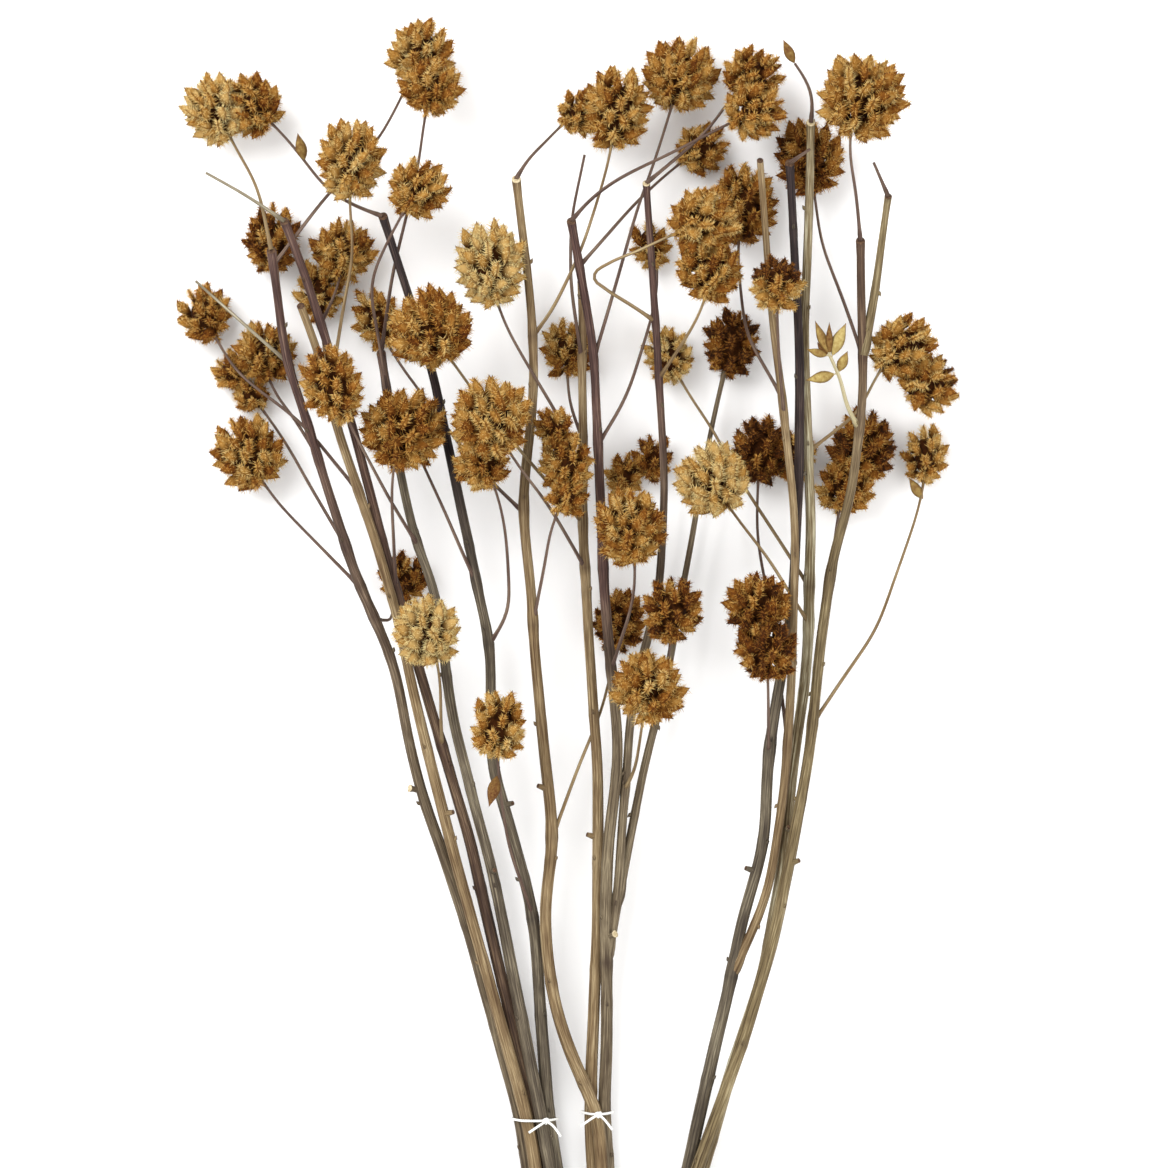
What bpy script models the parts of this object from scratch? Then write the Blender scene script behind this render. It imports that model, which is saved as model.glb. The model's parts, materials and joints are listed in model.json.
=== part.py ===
"""Dried glycyrrhiza: a sheaf of three string-tied bundles of stems with spiny seed heads, laid down.

The sheaf lies on the plane z = 0 with its heads towards +Y, seen from above as a fan. Its plan is chosen
by hand, in millimetres. A relaxation then lifts and bends stems, side branches and heads until each lies
clear of the others, and the meshes are built along the settled lines.
"""

import math
from dataclasses import dataclass, field

import bmesh
import bpy
import numpy as np
from mathutils import Matrix, Vector

MM = 0.001
GAP = 0.3             # between pieces that touch, mm
CLEARANCE = 0.7       # between the lines' surfaces while they settle, mm

FLAT_SIDE = 0.86      # how near a six-sided stem's flat side is to its middle, in radii
STEM_BUTT_RADIUS = 3.9
STEM_TOP_RADIUS = 2.4
LIMB_BASE_RADIUS = 2.9
LIMB_TOP_RADIUS = 2.0
TWIG_BASE_RADIUS = 1.4
TWIG_TIP_RADIUS = 1.0
NODE_SWELL = 1.16     # how much thicker a stem is where a branch leaves it

BUTT_SPREAD = 1.25    # a stem reaches its full thickness before its butt, at one over this of its length

LONGEST_STEM_STEP = 46.0
LONGEST_TWIG_STEP = 36.0
SAME_PLACE = 4.0      # a branch leaves an existing point of its stem that is nearer than this in Y
LIMB_RISE = 1.6       # a limb reaches its end height at one over this of its length
STALK_LENGTH = 11.0   # the straight end of a branch below its head
BASE_CUT = 0.72       # where a head's flat base lies, in head radii below its lower centre
VALLEY = 0.64         # how deep the gaps between pods reach, in head radii
SHORTEST_POD = 0.90   # how far out the shortest pod of a head reaches, in head radii
POD_LEAN = 0.16       # how far pod tips lean towards the apex, in head radii
FLOOR_SINK = 2.2      # how far a head on the floor is pressed flat, mm
PODS_PER_MM = 0.58     # of a head's width; the pods are larger than life, so fewer
FEWEST_PODS = 20
MOST_PODS = 29
FUSED_REACH = 0.69    # the furthest that two heads grown into each other stand apart, in summed radii
GOLDEN_ANGLE = math.pi * (3.0 - math.sqrt(5.0))

LINE_UP_HEIGHT = 120.0    # a stem rises evenly from its tie up to this Y
STRING_RADIUS = 0.9
STRING_CLEARANCE = 0.48   # between a loop and its stems, whose sides are flat, mm
STRING_TURNS = 22
KNOT_RADIUS = 2.3
TAIL_BEND = (4.0, 2.5, 0.0)    # from the knot: across the stems, along them, up; mm
TAIL_END = (11.0, 9.0, 1.5)
TAIL_LIFT = (2.2, 1.5)         # how far the bend and the end stand out from the loop, mm
TAIL_SHARES = ((-1.0, -0.75), (0.75, -1.0))    # of those lengths, for the two tails

# How firmly a particle is drawn to where the plan has it: in plan, and in height.
TIED_HOLD = (0.8, 0.8)
STEM_HOLD = (0.10, 0.03)
LIMB_HOLD = (0.08, 0.02)
TWIG_HOLD = (0.04, 0.02)
APEX_HOLD = (0.14, 0.05)

BARK = ("bark", (0.085, 0.058, 0.044), 0.75)
TAN_BARK = ("tan_bark", (0.24, 0.16, 0.085), 0.75)
PODS = ("pods", (0.42, 0.21, 0.055), 0.85)
PALE_PODS = ("pale_pods", (0.55, 0.36, 0.14), 0.85)
UNRIPE = ("unripe_pods", (0.50, 0.42, 0.20), 0.6)
STRING = ("string", (0.85, 0.85, 0.82), 0.8)


@dataclass
class Stem:
    """A main stem: its plan from the cut top down to the tie, and its height by hand."""

    name: str
    route: list
    tie: tuple
    butt: tuple
    top_height: float
    bark: tuple = BARK


@dataclass
class Branch:
    """What grows from a stem or limb at a height along the sheaf, to a head or an end."""

    parent: str
    start: float
    route: list
    head: str = ""
    end_height: float = 52.0
    limb: str = ""
    node: str = ""


@dataclass
class Head:
    """A seed head: its plan, height, width, length, lean from +Y towards +X, and the node it is part of."""

    x: float
    y: float
    z: float
    width: float
    length: float
    lean: float
    node: str
    pale: bool = False


STEMS = [
    Stem("left_1", [(-178, 264), (-173, 227), (-169, 197), (-160, 172), (-145, 123), (-128, 69), (-106, 19),
                    (-97, -26), (-89, -61), (-77, -95), (-62, -140)],
         (-28.9, -261, 15.0), (-9, -405, 3.4), 50),
    Stem("left_2", [(-160, 230), (-148, 198), (-137, 152), (-118, 99), (-103, 47), (-91, -10), (-78, -63),
                    (-66, -110)],
         (-24.6, -261, 22.4), (-3, -396, 10.8), 57),
    Stem("left_3", [(-170, 281), (-158, 250), (-143, 204), (-127, 150), (-107, 72), (-89, 10), (-76, -34),
                    (-59, -92), (-49, -138)],
         (-20.4, -261, 15.0), (1.5, -414, 3.4), 52),
    Stem("left_4", [(-112, 202), (-101, 134), (-92, 92), (-79, 56), (-70, -14), (-58, -63), (-45, -112)],
         (-16.2, -261, 22.4), (8, -402, 10.8), 56),
    Stem("left_5", [(-111, 284), (-97, 241), (-81, 190), (-70, 136), (-58, 77), (-47, 28), (-46, -45),
                    (-32, -94), (-21, -138)],
         (-11.9, -261, 15.0), (12, -410, 3.4), 52),
    Stem("middle_1", [(-31, 306), (-22, 230), (-20, 185), (-27, 107), (-22, 59), (-20, 23), (-13, -51),
                      (-9, -88), (-14, -132), (-11, -174), (-2, -212)],
         (17.6, -257, 22.4), (28, -400, 10.8), 56, TAN_BARK),
    Stem("middle_2", [(8, 246), (9, 173), (9, 96), (13, 23), (18, -51), (18, -139), (15, -208)],
         (13.3, -257, 15.0), (22, -408, 3.4), 38, TAN_BARK),
    Stem("middle_3", [(2, 281), (15, 209), (19, 124), (22, 55), (31, -38), (25, -95), (24, -165),
                      (24, -208)],
         (21.8, -257, 15.0), (33, -413, 3.4), 54),
    Stem("right_1", [(133, 316), (139, 203), (139, 130), (136, 47), (122, -38), (119, -95), (107, -139),
                     (100, -174), (88, -222)],
         (70.8, -300, 13.0), (41.5, -411, 3.4), 52),
    Stem("right_3", [(146, 341), (145, 290), (142, 215), (146, 96), (143, 10), (135, -51), (129, -112),
                     (118, -174), (100, -228)],
         (79.4, -300, 13.0), (52, -404, 3.4), 44, TAN_BARK),
    Stem("right_4", [(175, 269), (177, 178), (170, 120), (158, 76), (151, 23), (146, -32), (137, -85),
                     (124, -150), (106, -212)],
         (75.1, -300, 20.4), (47, -395, 10.8), 58, TAN_BARK),
]

LIMBS = [
    Branch("middle_3", -165, [(29, -130), (33, -76), (38, -10), (55, 62), (58, 124), (54, 197), (51, 245),
                              (47, 304)], end_height=50, limb="middle_3_limb"),
    Branch("middle_3_limb", -130, [(44, -55), (60, 10), (76, 99), (84, 150)], "37", limb="middle_3_side"),
    Branch("right_1", -174, [(121, -120), (130, -60), (133, -6), (135, 102), (128, 175), (122, 223),
                             (115, 317)], end_height=58, limb="right_1_limb"),
    Branch("right_4", 200, [(183, 232), (192, 296)], end_height=52, limb="right_4_limb"),
]

TWIGS = [
    Branch("left_1", 264, [(-187, 303)], "1"),
    Branch("left_1", 255, [(-146, 296), (-115, 332)], "2"),
    Branch("left_1", 197, [(-195, 220), (-223, 245)], end_height=56),
    Branch("left_1", 160, [(-173, 196)], "6"),
    Branch("left_1", 140, [(-168, 168)], "9"),
    Branch("left_1", 85, [(-160, 128)], "10"),
    Branch("left_1", 62, [(-158, 96)], "15"),
    Branch("left_1", 47, [(-107, 40)], "19"),
    Branch("left_2", 165, [(-143, 190)], "7b"),
    Branch("left_2", 120, [(-158, 160), (-196, 192)], "8"),
    Branch("left_3", 281, [(-192, 296), (-217, 310)], end_height=54),
    Branch("left_3", 220, [], "7"),
    Branch("left_3", 195, [(-133, 235), (-127, 262)], "4"),
    Branch("left_3", 60, [(-105, 95)], "14"),
    Branch("left_3", -34, [(-76, -8)], "20"),
    Branch("left_4", 202, [(-106, 246), (-98, 280), (-90, 315)], "3"),
    Branch("left_4", 180, [(-119, 245)], "5"),
    Branch("left_4", 88, [(-104, 112)], "13"),
    Branch("left_5", 284, [(-122, 288), (-146, 302)], "1b"),
    Branch("left_5", 65, [(-72, 104), (-88, 138)], end_height=60),
    Branch("left_5", 28, [(-35, 47), (-36, 84)], "18"),
    Branch("left_5", -138, [(-35, -95)], "21"),
    Branch("middle_1", 306, [(-23, 321), (-10, 333)], "26"),
    Branch("middle_1", 212, [(-10, 226), (8, 262)], "27"),
    Branch("middle_1", 107, [(-52, 131), (-73, 157), (-93, 183)], "11"),
    Branch("middle_1", 40, [(-13, 80)], "24b"),
    Branch("middle_1", -88, [(5, -50), (20, -14)], "44"),
    Branch("middle_2", 200, [(2, 246), (2, 283), (10, 322)], end_height=40),
    Branch("middle_2", 150, [(1, 172)], "25"),
    Branch("middle_2", 130, [(-3, 160), (-23, 193)], "16"),
    Branch("middle_2", 100, [(-28, 142), (-50, 170)], "12"),
    Branch("middle_2", 74, [(-10, 112)], "17"),
    Branch("middle_3", 281, [(11, 292), (30, 306), (60, 320)], "30"),
    Branch("middle_3", 254, [(24, 274), (40, 293)], "29"),
    Branch("middle_3", 199, [(29, 246), (42, 292), (50, 314)], "28"),
    Branch("middle_3", 147, [(36, 178), (49, 218)], "32"),
    Branch("middle_3", 74, [(28, 92)], "39"),
    Branch("middle_3", 12, [(38, 50)], "42"),
    Branch("middle_3_limb", 304, [(72, 326), (88, 342)], "31"),
    Branch("middle_3_limb", 220, [(13, 248), (40, 262)], "33"),
    Branch("middle_3_limb", 187, [(72, 212)], "34"),
    Branch("middle_3_limb", -60, [(40, -48)], "45"),
    Branch("middle_3_side", 10, [], "43"),
    Branch("right_1", 316, [(145, 324)], end_height=56),
    Branch("right_1", -38, [(121, -22)], "56"),
    Branch("right_1_limb", 175, [(108, 214)], "35"),
    Branch("right_1_limb", 165, [(126, 192)], "36"),
    Branch("right_1_limb", -30, [(122, 42), (112, 90)], "53"),
    Branch("right_3", 341, [(148, 358), (136, 376)], end_height=50),
    Branch("right_3", 143, [(176, 169)], "48"),
    Branch("right_3", 62, [(109, 122), (92, 154)], "38"),
    Branch("right_3", 40, [(120, 78)], "41"),
    Branch("right_4", 269, [(172, 300)], "46"),
    Branch("right_4", 200, [(166, 232), (152, 268)], "47"),
    Branch("right_4", 156, [(167, 170), (162, 186), (156, 199)], end_height=76, node="unripe_shoot"),
    Branch("right_4", 66, [(160, 84)], "52"),
    Branch("right_4", -20, [(187, 38), (200, 73)], "51"),
    Branch("right_4_limb", 296, [(183, 316)], end_height=56),
]

UNDER = 0.0    # a head that lies on the floor, beneath the stems
OVER = 84.0    # a head that lies on the stems

HEADS = {
    "1": Head(-212, 350, 32, 44, 46, -25, "heads_far_left"),
    "1b": Head(-192, 353, 32, 40, 42, -50, "heads_far_left"),
    "2": Head(-88, 389, 38, 43, 47, 22, "heads_top_left"),
    "3": Head(-84, 358, 38, 40, 40, 10, "heads_top_left"),
    "4": Head(-127, 316, 62, 43, 54, 3, "head_left_peak"),
    "5": Head(-92, 301, 66, 40, 38, 30, "head_left_round"),
    "6": Head(-179, 271, UNDER, 38, 46, 0, "head_left_dark"),
    "7": Head(-137, 266, UNDER, 42, 40, 10, "heads_left_inner"),
    "7b": Head(-145, 241, UNDER, 32, 42, 0, "heads_left_inner"),
    "8": Head(-221, 228, UNDER, 36, 39, -30, "head_left_edge"),
    "9": Head(-184, 204, UNDER, 41, 42, -10, "heads_left_cluster"),
    "10a": Head(-207, 194, UNDER, 28, 28, -20, "heads_left_cluster"),
    "10": Head(-193, 179, UNDER, 26, 26, -35, "heads_left_cluster"),
    "11": Head(-119, 224, UNDER, 32, 44, -26, "head_left_shade"),
    "12": Head(-81, 215, OVER, 52, 52, -32, "head_left_large"),
    "13": Head(-134, 180, OVER, 40, 54, -23, "head_left_long"),
    "14": Head(-100, 157, OVER, 53, 50, 14, "head_left_broad"),
    "15": Head(-192, 144, UNDER, 45, 50, -25, "head_left_low"),
    "16": Head(-46, 254, 70, 45, 56, -9, "head_pale_peak", True),
    "17": Head(-46, 166, OVER, 51, 49, -28, "heads_left_pair"),
    "18": Head(-50, 134, OVER, 38, 38, -27, "heads_left_pair"),
    "19": Head(-99, 67, UNDER, 33, 35, 22, "head_left_small"),
    "20": Head(-83, 36, OVER, 43, 47, -17, "head_pale_left", True),
    "21": Head(-41, -21, OVER, 36, 46, 2, "head_lowest"),
    "23": Head(-9, 160, 70, 28, 30, -10, "heads_middle_column"),
    "24": Head(-1, 137, 70, 36, 40, -5, "heads_middle_column"),
    "24b": Head(-1, 113, 70, 28, 28, 35, "heads_middle_column"),
    "25": Head(0, 206, UNDER, 36, 40, 2, "head_middle_shade"),
    "26": Head(8, 348, 34, 32, 34, 60, "heads_middle_top"),
    "27": Head(32, 350, 40, 43, 54, 8, "heads_middle_top"),
    "28": Head(67, 371, 34, 48, 51, 16, "head_top_middle"),
    "29": Head(81, 328, UNDER, 34, 37, 56, "head_middle_side"),
    "30": Head(113, 346, 52, 38, 40, 65, "heads_top_right"),
    "31": Head(111, 372, 34, 38, 36, 45, "heads_top_right"),
    "32": Head(50, 270, UNDER, 28, 34, -18, "head_middle_small"),
    "33": Head(81, 281, 78, 45, 46, 68, "heads_right_inner", True),
    "34": Head(85, 248, 74, 42, 34, 10, "heads_right_inner"),
    "35": Head(109, 294, UNDER, 44, 54, 10, "head_right_tall"),
    "36": Head(124, 243, OVER, 38, 37, 0, "head_right_cup"),
    "37": Head(96, 209, UNDER, 38, 46, 13, "head_right_darkest"),
    "38": Head(62, 203, UNDER, 34, 40, -27, "head_right_shade"),
    "39": Head(34, 130, UNDER, 28, 31, 15, "heads_middle_low"),
    "40": Head(53, 141, UNDER, 28, 32, 10, "heads_middle_low"),
    "41": Head(85, 126, OVER, 47, 46, -32, "head_pale_right", True),
    "42": Head(37, 97, OVER, 45, 52, -8, "head_middle_front"),
    "43": Head(62, 47, 76, 38, 44, 5, "head_low_dark"),
    "44": Head(31, 41, UNDER, 36, 44, 8, "head_low_shade"),
    "45": Head(49, 4, 78, 47, 43, 10, "head_low_front"),
    "46": Head(176, 355, 62, 56, 54, 20, "head_top_right"),
    "47": Head(143, 321, UNDER, 43, 51, -10, "head_right_back"),
    "48": Head(200, 207, 50, 40, 46, 45, "heads_far_right"),
    "49": Head(218, 184, 46, 40, 40, 60, "heads_far_right"),
    "51": Head(217, 142, UNDER, 30, 40, 3, "head_right_edge"),
    "50": Head(181, 153, UNDER, 43, 50, 10, "heads_right_dark"),
    "52": Head(167, 120, UNDER, 37, 40, 15, "heads_right_dark"),
    "53": Head(112, 144, UNDER, 40, 46, 3, "heads_right_low"),
    "54": Head(139, 141, UNDER, 28, 42, 10, "heads_right_low"),
    "55": Head(111, 58, 74, 42, 42, -14, "heads_right_last"),
    "56": Head(119, 21, 80, 40, 40, -3, "heads_right_last"),
}

STUBS = [
    ("left_1", -61, (-0.9, 0.2, 0.5)),
    ("left_2", -75, (0.8, 0.2, 0.6)),
    ("left_4", -110, (0.2, 0.2, 1.0)),
    ("left_5", -70, (0.7, 0.2, 0.6)),
    ("middle_1", -60, (-0.8, 0.3, 0.5)),
    ("middle_2", -90, (-0.9, 0.3, 0.4)),
    ("middle_3", -150, (0.7, 0.3, 0.6)),
    ("right_1", -110, (-0.9, 0.3, 0.4)),
    ("right_3", -85, (0.2, 0.3, 1.0)),
    ("right_4", -105, (0.8, 0.3, 0.5)),
]
STUB_LENGTH = 7.5
STUB_RADIUS = 1.7
STUB_TAPER = 0.8

LOOSE_PODS = [
    ("left_5", (-165, 314), (-3, 10)),
    ("left_5", (-40, -50), (-4, -20)),
    ("right_3", (131, 381), (-8, 14)),
    ("right_4", (209, 112), (-12, 16)),
]
POD_LENGTH = 15.0
POD_RADIUS = 3.4
POD_THICKNESS = 0.7   # of a pod's width
POD_OUT = 0.42        # where a loose pod's middle stands off its twig, in pod lengths
POD_RISE = 4.0        # how steeply it stands, against its plan direction in mm

UNRIPE_PODS = [(162, 192), (165, 196), (157, 186), (154, 201), (160, 206), (151, 208), (157, 213)]
UNRIPE_LENGTH = 14.0
UNRIPE_RADIUS = 2.6
UNRIPE_OUT = 6.0
UNRIPE_RISE = 2.0
UNRIPE_FIRST = 2      # the first particle of the shoot that bears pods

# Where each bundle's knot sits on its loop, in radians up from +X.
KNOT_ANGLES = {"left": 1.1, "middle": 1.5, "right": 1.9}


def unit(vector):
    """The vector, or each row of an array of them, at length one."""
    length = np.linalg.norm(vector, axis=-1, keepdims=True)
    return vector / np.maximum(length, 1e-9)


@dataclass
class Line:
    """A settled chain of particles with a radius at each: a stem, a limb or a branch."""

    name: str
    owner: str
    particles: list
    radii: list
    head: str = ""
    grows_from: str = ""


@dataclass
class Sheaf:
    """Particles joined into lines and head sticks, which settle until the capsules around them are clear."""

    places: list = field(default_factory=list)
    hold: list = field(default_factory=list)
    lines: dict = field(default_factory=dict)
    sticks: dict = field(default_factory=dict)
    capsules: list = field(default_factory=list)
    bends: list = field(default_factory=list)
    bonds: list = field(default_factory=list)

    def particle(self, x, y, z, hold):
        """Adds one particle and returns its index."""
        self.places.append((x, y, z))
        self.hold.append(hold)
        return len(self.places) - 1

    def capsule(self, first, last, share, radii, owner):
        """Adds a rounded rod along part of the way between two particles."""
        self.capsules.append((first, last, share[0], share[1], radii[0], radii[1], owner))

    def at(self, line_name, y):
        """The particle of a line that lies nearest to this Y."""
        line = self.lines[line_name]
        return min(line.particles, key=lambda i: abs(self.places[i][1] - y))


def stepped(points, longest):
    """The points of a polyline with more added evenly, so that no step is longer than this."""
    found = [points[0]]
    for start, end in zip(points, points[1:]):
        steps = max(1, math.ceil(math.dist(start[:2], end[:2]) / longest))
        for k in range(1, steps + 1):
            t = k / steps
            found.append(tuple(a + (b - a) * t for a, b in zip(start, end)))
    return found


def with_starts(points, starts):
    """The points of a line that falls in Y, with one added at each Y where a branch leaves it."""
    found = list(points)
    for y in starts:
        if min(abs(p[1] - y) for p in found) < SAME_PLACE:
            continue
        for k, (above, below) in enumerate(zip(found, found[1:])):
            if below[1] < y < above[1]:
                t = (above[1] - y) / (above[1] - below[1])
                found.insert(k + 1, tuple(a + (b - a) * t for a, b in zip(above, below)))
                break
    return found


def add_stem(sheaf, stem):
    """Adds a main stem: a straight rise from the butt over the tie to where the heads lie, then level."""
    tie, butt = stem.tie, stem.butt
    points = []
    for x, y in stem.route:
        rise = min(1.0, (y - tie[1]) / (LINE_UP_HEIGHT - tie[1]))
        points.append((x, y, tie[2] + (stem.top_height - tie[2]) * rise))
    points += [tie, butt]
    starts = [b.start for b in LIMBS + TWIGS if b.parent == stem.name]
    points = with_starts(stepped(points, LONGEST_STEM_STEP), starts)
    length = points[0][1] - butt[1]
    particles, radii = [], []
    for x, y, z in points:
        particles.append(sheaf.particle(x, y, z, TIED_HOLD if y <= tie[1] else STEM_HOLD))
        down = (points[0][1] - y) / length
        radii.append(STEM_TOP_RADIUS + (STEM_BUTT_RADIUS - STEM_TOP_RADIUS) * min(1.0, down * BUTT_SPREAD))
    add_line(sheaf, Line(stem.name, stem.name, particles, radii))


def add_line(sheaf, line):
    """Records a line with a capsule along each of its steps, and its bends for smoothing."""
    name = line.name
    sheaf.lines[name] = line
    for a, b, ra, rb in zip(line.particles, line.particles[1:], line.radii, line.radii[1:]):
        sheaf.capsule(a, b, (0.0, 1.0), (ra, rb), line.owner)
    sheaf.bends += list(zip(line.particles, line.particles[1:], line.particles[2:]))


def add_head(sheaf, name, head):
    """Adds a head's stick, from the start of its straight stalk to the centre of its apex end."""
    radius = head.width / 2
    spare = max(0.0, head.length - head.width)
    length = STALK_LENGTH + BASE_CUT * radius + spare
    lean = math.radians(head.lean)
    way = np.array([math.sin(lean), math.cos(lean)])
    height = radius - FLOOR_SINK if head.z == UNDER else head.z
    apex = np.array([head.x, head.y]) + way * spare / 2
    tail = apex - way * length
    stick = sheaf.particle(*tail, height, TWIG_HOLD), sheaf.particle(*apex, height, APEX_HOLD)
    sheaf.sticks[name] = (*stick, length)
    sheaf.capsule(*stick, ((STALK_LENGTH + BASE_CUT * radius) / length, 1.0), (radius, radius), head.node)


def add_branch(sheaf, branch, thick):
    """Adds a limb or a twig from a particle of its parent to its end, or to its head's stalk."""
    root = sheaf.at(branch.parent, branch.start)
    parent = sheaf.lines[branch.parent]
    start = sheaf.places[root]
    if branch.head:
        tail, apex, length = sheaf.sticks[branch.head]
        end = sheaf.places[tail]
        route = branch.route + [end[:2]]
        end_height = end[2]
    else:
        route = branch.route
        end_height = branch.end_height
    plan = stepped([start[:2]] + route, LONGEST_STEM_STEP if thick else LONGEST_TWIG_STEP)
    if branch.limb:
        starts = [b.start for b in LIMBS + TWIGS if b.parent == branch.limb]
        plan = with_starts(plan[::-1], starts)[::-1]
    walked = np.cumsum([0.0] + [math.dist(a, b) for a, b in zip(plan, plan[1:])])
    base_r, tip_r = (LIMB_BASE_RADIUS, LIMB_TOP_RADIUS) if thick else (TWIG_BASE_RADIUS, TWIG_TIP_RADIUS)
    if branch.head and thick:
        tip_r = TWIG_BASE_RADIUS
    particles, radii = [root], [base_r]
    inner = plan[1:-1] if branch.head else plan[1:]
    for (x, y), d in zip(inner, walked[1:]):
        t = d / walked[-1]
        rise = min(1.0, LIMB_RISE * t) if thick else t
        z = start[2] + (end_height - start[2]) * rise
        particles.append(sheaf.particle(x, y, z, LIMB_HOLD if thick else TWIG_HOLD))
        radii.append(base_r + (tip_r - base_r) * t)
    if branch.head:
        particles.append(tail)
        radii.append(tip_r)
        share = STALK_LENGTH / length
        sheaf.capsule(tail, apex, (0.0, share), (tip_r, tip_r), branch.node or parent.owner)
    name = branch.limb or f"{branch.parent}_{branch.head or 'twig'}_{round(branch.start)}"
    owner = branch.node or parent.owner
    add_line(sheaf, Line(name, owner, particles, radii, branch.head, parent.name))
    if branch.head:
        sheaf.bends.append((particles[-2], tail, apex))


def lay_out():
    """The whole sheaf before it settles."""
    sheaf = Sheaf()
    for stem in STEMS:
        add_stem(sheaf, stem)
    for name, head in HEADS.items():
        add_head(sheaf, name, head)
    names = list(HEADS)
    for one, other in zip(names, names[1:]):
        if HEADS[one].node == HEADS[other].node:
            reach = FUSED_REACH * (HEADS[one].width + HEADS[other].width) / 2
            sheaf.bonds.append((*sheaf.sticks[one][:2], *sheaf.sticks[other][:2], reach))
    for limb in LIMBS:
        add_branch(sheaf, limb, True)
    for twig in TWIGS:
        add_branch(sheaf, twig, False)
    return sheaf


def nearest_shares(p1, d1, p2, d2):
    """Where two straight steps come closest: the share of each that is walked to get there."""
    r = p1 - p2
    a = np.maximum((d1 * d1).sum(1), 1e-9)
    e = np.maximum((d2 * d2).sum(1), 1e-9)
    b, c, f = (d1 * d2).sum(1), (d1 * r).sum(1), (d2 * r).sum(1)
    across = a * e - b * b
    s = np.where(across > 1e-9 * a * e, np.clip((b * f - c * e) / np.maximum(across, 1e-12), 0, 1), 0.5)
    t = (b * s + f) / e
    s = np.where(t < 0, np.clip(-c / a, 0, 1), np.where(t > 1, np.clip((b - c) / a, 0, 1), s))
    return s, np.clip(t, 0, 1)


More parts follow.
